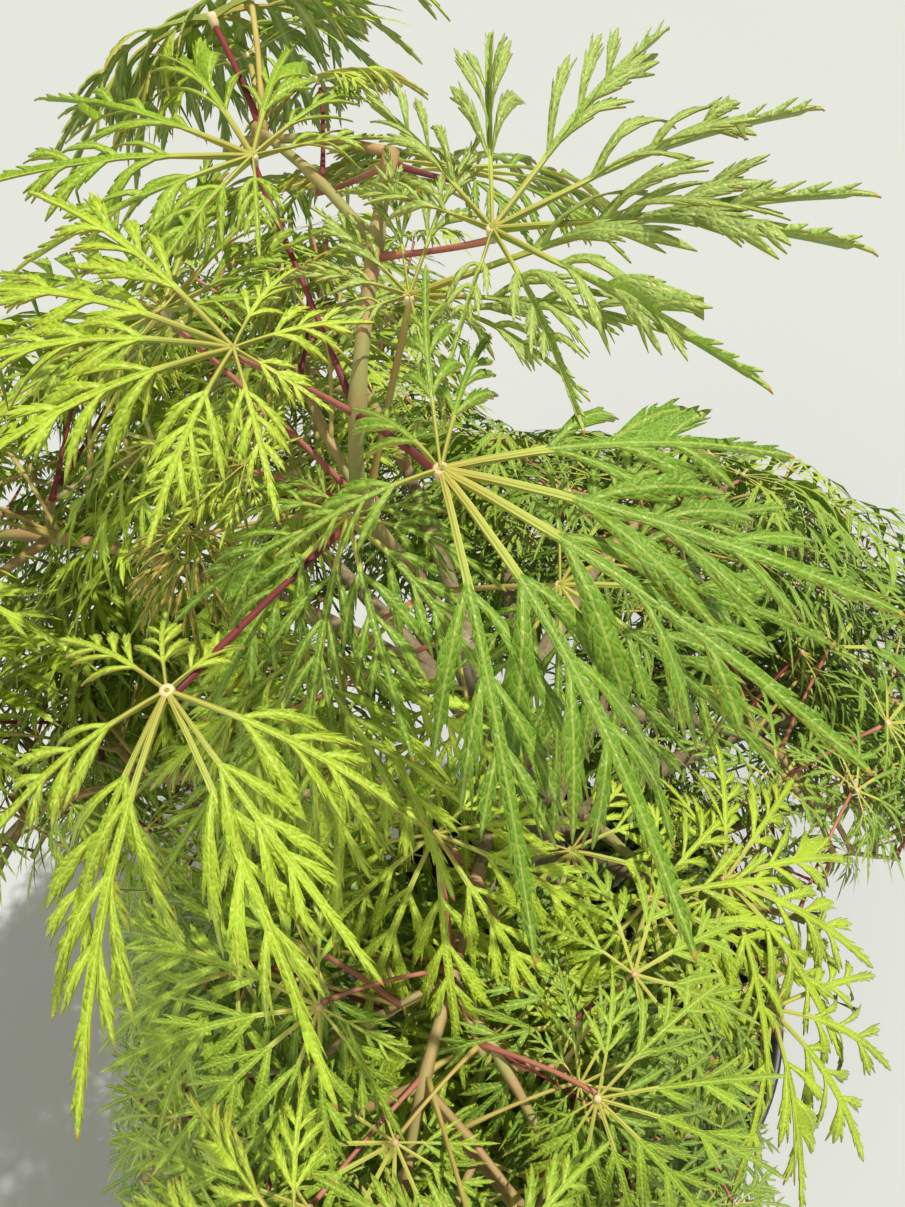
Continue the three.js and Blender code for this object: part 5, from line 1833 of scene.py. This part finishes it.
# Each look's material, its setting and its other colours
SET_LOOKS = {
    "under": (under_material, "leaf_underside", "b9c98a"),
    "rib": (rib_material, "lobe_stalk", "b3984a"),
    "coral": (skin_material, "coral_petiole", "a35e55"),
    "red": (skin_material, "red_petiole", "682a2f"),
    "tan": (skin_material, "tan_petiole", "a8914f"),
    "twig": (skin_material, "young_stem", "93985a"),
    "bark": (bark_material, "trunk_bark", "a89d88", "5a5043"),
    "bough": (bark_material, "bough_bark", "9d9070", "54493a"),
    "pot": (plastic_material, "pot_plastic", "6b6256"),
    "soil": (mulch_material, "soil", "8a6b4b", "1f1712"),
    "chip": (mulch_material, "bark_chip", "a07f58", "33241a"),
}
# Each small part's material name, its two colours and its relief
SMALL_LOOKS = {
    "rim": ("leaf_rim", "8ba046", "a9953f", 0.0),
    "hub": ("leaf_hub", "dccfa6", "c99c83", 0.25),
    "tip": ("leaf_tip", "c77a3f", "b9ad45", 0.0),
}


@functools.lru_cache(maxsize=None)
def look(kind):
    """A material, made once."""
    if kind in TONES:
        return leaf_look(kind)
    if kind in SET_LOOKS:
        return set_look(*SET_LOOKS[kind])
    if kind in SMALL_LOOKS:
        name, base, other, relief = SMALL_LOOKS[kind]
        return skin_material(name, tint(base), tint(other), bump=relief)
    return plain_material("stage_floor", tuple(bpy.context.scene.maple_shape.floor), 0.8)


def leaf_materials():
    return [look(kind) for kind in (*TONES, "under", "rib", "rim", "hub", "tip")]


class MAPLE_OT_trunk(bpy.types.Operator):
    """Builds the trunk with its bark"""
    bl_idname = "maple.trunk"
    bl_label = "Trunk"
    bl_options = {"REGISTER", "UNDO"}

    def execute(self, context):
        settings = context.scene.maple_shape
        put("trunk_bark", trunk_mesh("trunk_bark", look("bark"), settings), "bark", "trunk")
        return {"FINISHED"}


class MAPLE_OT_boughs(bpy.types.Operator):
    """Builds the boughs with their bark"""
    bl_idname = "maple.boughs"
    bl_label = "Boughs"
    bl_options = {"REGISTER", "UNDO"}

    def execute(self, context):
        relief = context.scene.maple_shape.bark_relief / MM
        for name, (_, _, _, root) in BOUGHS.items():
            line = bough_line(name, BOUGH_STEPS)
            radii = root + (BOUGH_TIP_RADIUS - root) * np.linspace(0, 1, len(line))
            radii[:BOUGH_SWELL_STEPS] *= 1 + BOUGH_SWELL * np.linspace(1, 0, BOUGH_SWELL_STEPS) ** 2
            mesh = tubes([(line, radii)], BOUGH_SIDES, look("bough"), relief, BOUGH_RELIEF_SCALE)
            put(name + "_bark", mesh, "bark", name + "_bough")
        return {"FINISHED"}


def detail_of(leaf):
    """How finely a leaf is cut: by whether it is in front and how near the camera it is."""
    if leaf.get("front") or leaf["depth"] < FINE_LEAF_DEPTH:
        return "fine"
    return "plain" if leaf["depth"] < PLAIN_LEAF_DEPTH else "far"


def leafy_joints(mass, kind, i):
    """The furthest joint of a side twig or twiglet that carries a leaf or a leafy twiglet."""
    mine = [key[2] for key in mass.get("used", {}) if key[0] == kind and key[1] == i]
    if kind == "twig":
        mine += [leaf["site"][1] for leaf in mass["leaves"] if leaf.get("site") and leaf["site"][0] == i]
        for k in range(2 * len(mass["sides"])):
            if k // 2 == i and leafy_joints(mass, "twiglet", k):
                mine.append(2 - k % 2)
    return max(mine, default=0)


class MAPLE_OT_leaves(bpy.types.Operator):
    """Builds each mass's leaves"""
    bl_idname = "maple.leaves"
    bl_label = "Leaves"
    bl_options = {"REGISTER", "UNDO"}

    def execute(self, context):
        for order, (name, mass) in enumerate(the_crown().masses.items()):
            draw = seeded(LEAF_SEED + order)
            shells = {"leaves": Shell(), "inner_leaves": Shell()}
            for leaf in mass["leaves"]:
                shell = shells["inner_leaves" if name == "leader" and not leaf.get("front") else "leaves"]
                add_lobes(shell, leaf, detail_of(leaf), draw)
                near = detail_of(leaf) == "fine"
                profile = HUB_PROFILE if near else HUB_PROFILE[1:-1:2]
                add_hub(shell, leaf, HUB_SIDES if near else FAR_HUB_SIDES, profile)
            for kind, shell in shells.items():
                if shell.count:
                    piece = f"{name}_{kind}"
                    put(piece, shell.mesh(piece, leaf_materials()), "leaves", name + "_foliage")
        return {"FINISHED"}


class MAPLE_OT_twigs(bpy.types.Operator):
    """Builds each mass's twigs and leaf stalks"""
    bl_idname = "maple.twigs"
    bl_label = "Twigs"
    bl_options = {"REGISTER", "UNDO"}

    def execute(self, context):
        for order, (name, mass) in enumerate(the_crown().masses.items()):
            draw = seeded(TWIG_SEED + order)
            stem = [vec(p) for p, _ in mass["stem"]]
            stem[0] = stem[0] - unit(stem[1] - stem[0]) * STEM_SINK
            wood = [twig_path(stem, *STEM_ENDS)]
            for kind, key, start, stop in TWIG_KINDS:
                for i, line in enumerate(mass[key]):
                    last = leafy_joints(mass, kind, i)
                    if last:
                        wood.append(twig_path([vec(p) for p, _ in line[:last + 1]], start, stop))
            stalks = {"coral": [], "red": [], "tan": []}
            for leaf in mass["leaves"]:
                kind = leaf.get("stalk") or STALK_KINDS[int(len(STALK_KINDS) * draw())]
                stalks[kind].append(petiole_path(leaf, draw))
            sides, stalk_sides = (8, 8) if name == "leader" else (6, 5)
            meshes = [tubes(wood, sides, look("twig"), TWIG_RELIEF, TWIG_RELIEF_SCALE)]
            meshes += [tubes(paths, stalk_sides, look(kind)) for kind, paths in stalks.items() if paths]
            put(name + "_twigs", joined_meshes(name + "_twigs", meshes), "young_bark")
        return {"FINISHED"}


class MAPLE_OT_pot(bpy.types.Operator):
    """Builds the nursery pot"""
    bl_idname = "maple.pot"
    bl_label = "Pot"
    bl_options = {"REGISTER", "UNDO"}

    def execute(self, context):
        settings = context.scene.maple_shape
        points, faces = lathe(pot_profile(settings), POT_SIDES)
        obj = put("pot_shell", plain_mesh("pot_shell", points, faces, look("pot")), "pot", "pot")
        cut_drains(obj)
        obj.data.name = "pot_shell"
        return {"FINISHED"}


class MAPLE_OT_soil(bpy.types.Operator):
    """Builds the soil and the bark chips on it"""
    bl_idname = "maple.soil"
    bl_label = "Soil"
    bl_options = {"REGISTER", "UNDO"}

    def execute(self, context):
        settings = context.scene.maple_shape
        points, faces = make_soil()
        put("soil_fill", plain_mesh("soil_fill", points, faces, look("soil")), "soil", "soil")
        shape = plain_mesh("chip", *rough_chip(CHIP_SHAPE_SEED), look("chip"), smooth=False)
        chip = bpy.data.objects.new("chip", shape)
        ground = bpy.data.objects.new("ground", plain_mesh("ground", points * CHIP_BED, faces, look("soil")))
        bpy.context.scene.collection.objects.link(ground)
        smallest, largest = CHIP_SIZES
        values = {"Density": settings.chip_density, "Chip": chip, "Seed": CHIP_SEED,
                  "Smallest": smallest, "Largest": largest, "Material": look("chip")}
        mesh = baked(ground, chips_tree(), values)
        discard(chip)
        put("soil_chips", mesh, "soil")
        return {"FINISHED"}


def sun_lamp(name, energy, spread, turn, code):
    light = bpy.data.lights.new(name, "SUN")
    light.energy, light.angle, light.color = energy, math.radians(spread), tint(code)
    obj = bpy.data.objects.new(name, light)
    obj.rotation_euler = tuple(math.radians(a) for a in turn)
    bpy.context.scene.collection.objects.link(obj)
    return obj


class MAPLE_OT_stage(bpy.types.Operator):
    """Sets the floor, the light and the camera"""
    bl_idname = "maple.stage"
    bl_label = "Stage"
    bl_options = {"REGISTER", "UNDO"}

    def execute(self, context):
        bpy.ops.mesh.primitive_plane_add(size=FLOOR_SIZE, location=(0, 0, 0))
        floor = bpy.context.object
        floor.name = "stage_floor"
        floor.data.materials.append(look("floor"))
        bpy.context.scene.view_settings.view_transform = "Standard"
        key = sun_lamp("stage_key", *KEY_LIGHT)
        fill = sun_lamp("stage_fill", *FILL_LIGHT)
        world = bpy.context.scene.world or bpy.data.worlds.new("World")
        bpy.context.scene.world = world
        world.use_nodes = True
        back = world.node_tree.nodes["Background"]
        back.inputs["Color"].default_value = (*tint(SKY_COLOUR), 1)
        back.inputs["Strength"].default_value = SKY_STRENGTH
        camera = bpy.data.cameras.new("stage_camera")
        camera.sensor_width, camera.lens = SENSOR_WIDTH, CAMERA_LENS
        camera.clip_start, camera.clip_end = 0.005, 60
        eye = bpy.data.objects.new("stage_camera", camera)
        eye.location = tuple(c * MM for c in EYE)
        eye.rotation_euler = (math.pi / 2 - EYE_PITCH, 0, 0)
        bpy.context.scene.collection.objects.link(eye)
        bpy.context.scene.camera = eye
        return {"FINISHED"}


PIECES = (MAPLE_OT_trunk, MAPLE_OT_boughs, MAPLE_OT_leaves, MAPLE_OT_twigs, MAPLE_OT_pot, MAPLE_OT_soil,
          MAPLE_OT_stage)


class MAPLE_PT_panel(bpy.types.Panel):
    """The maple's settings and pieces"""
    bl_idname = "MAPLE_PT_panel"
    bl_label = "Potted maple"
    bl_space_type = "VIEW_3D"
    bl_region_type = "UI"
    bl_category = "Maple"

    def draw(self, context):
        for key in MapleShape.__annotations__:
            self.layout.prop(context.scene.maple_shape, key)
        for piece in PIECES:
            self.layout.operator(piece.bl_idname)


def register():
    for item in (MapleShape, *PIECES, MAPLE_PT_panel):
        bpy.utils.register_class(item)
    bpy.types.Scene.maple_shape = bpy.props.PointerProperty(type=MapleShape)


def unregister():
    del bpy.types.Scene.maple_shape
    for item in reversed((MapleShape, *PIECES, MAPLE_PT_panel)):
        bpy.utils.unregister_class(item)


def main():
    register()
    for piece in PIECES:
        group, name = piece.bl_idname.split(".")
        getattr(getattr(bpy.ops, group), name)()


if __name__ == "__main__":
    main()
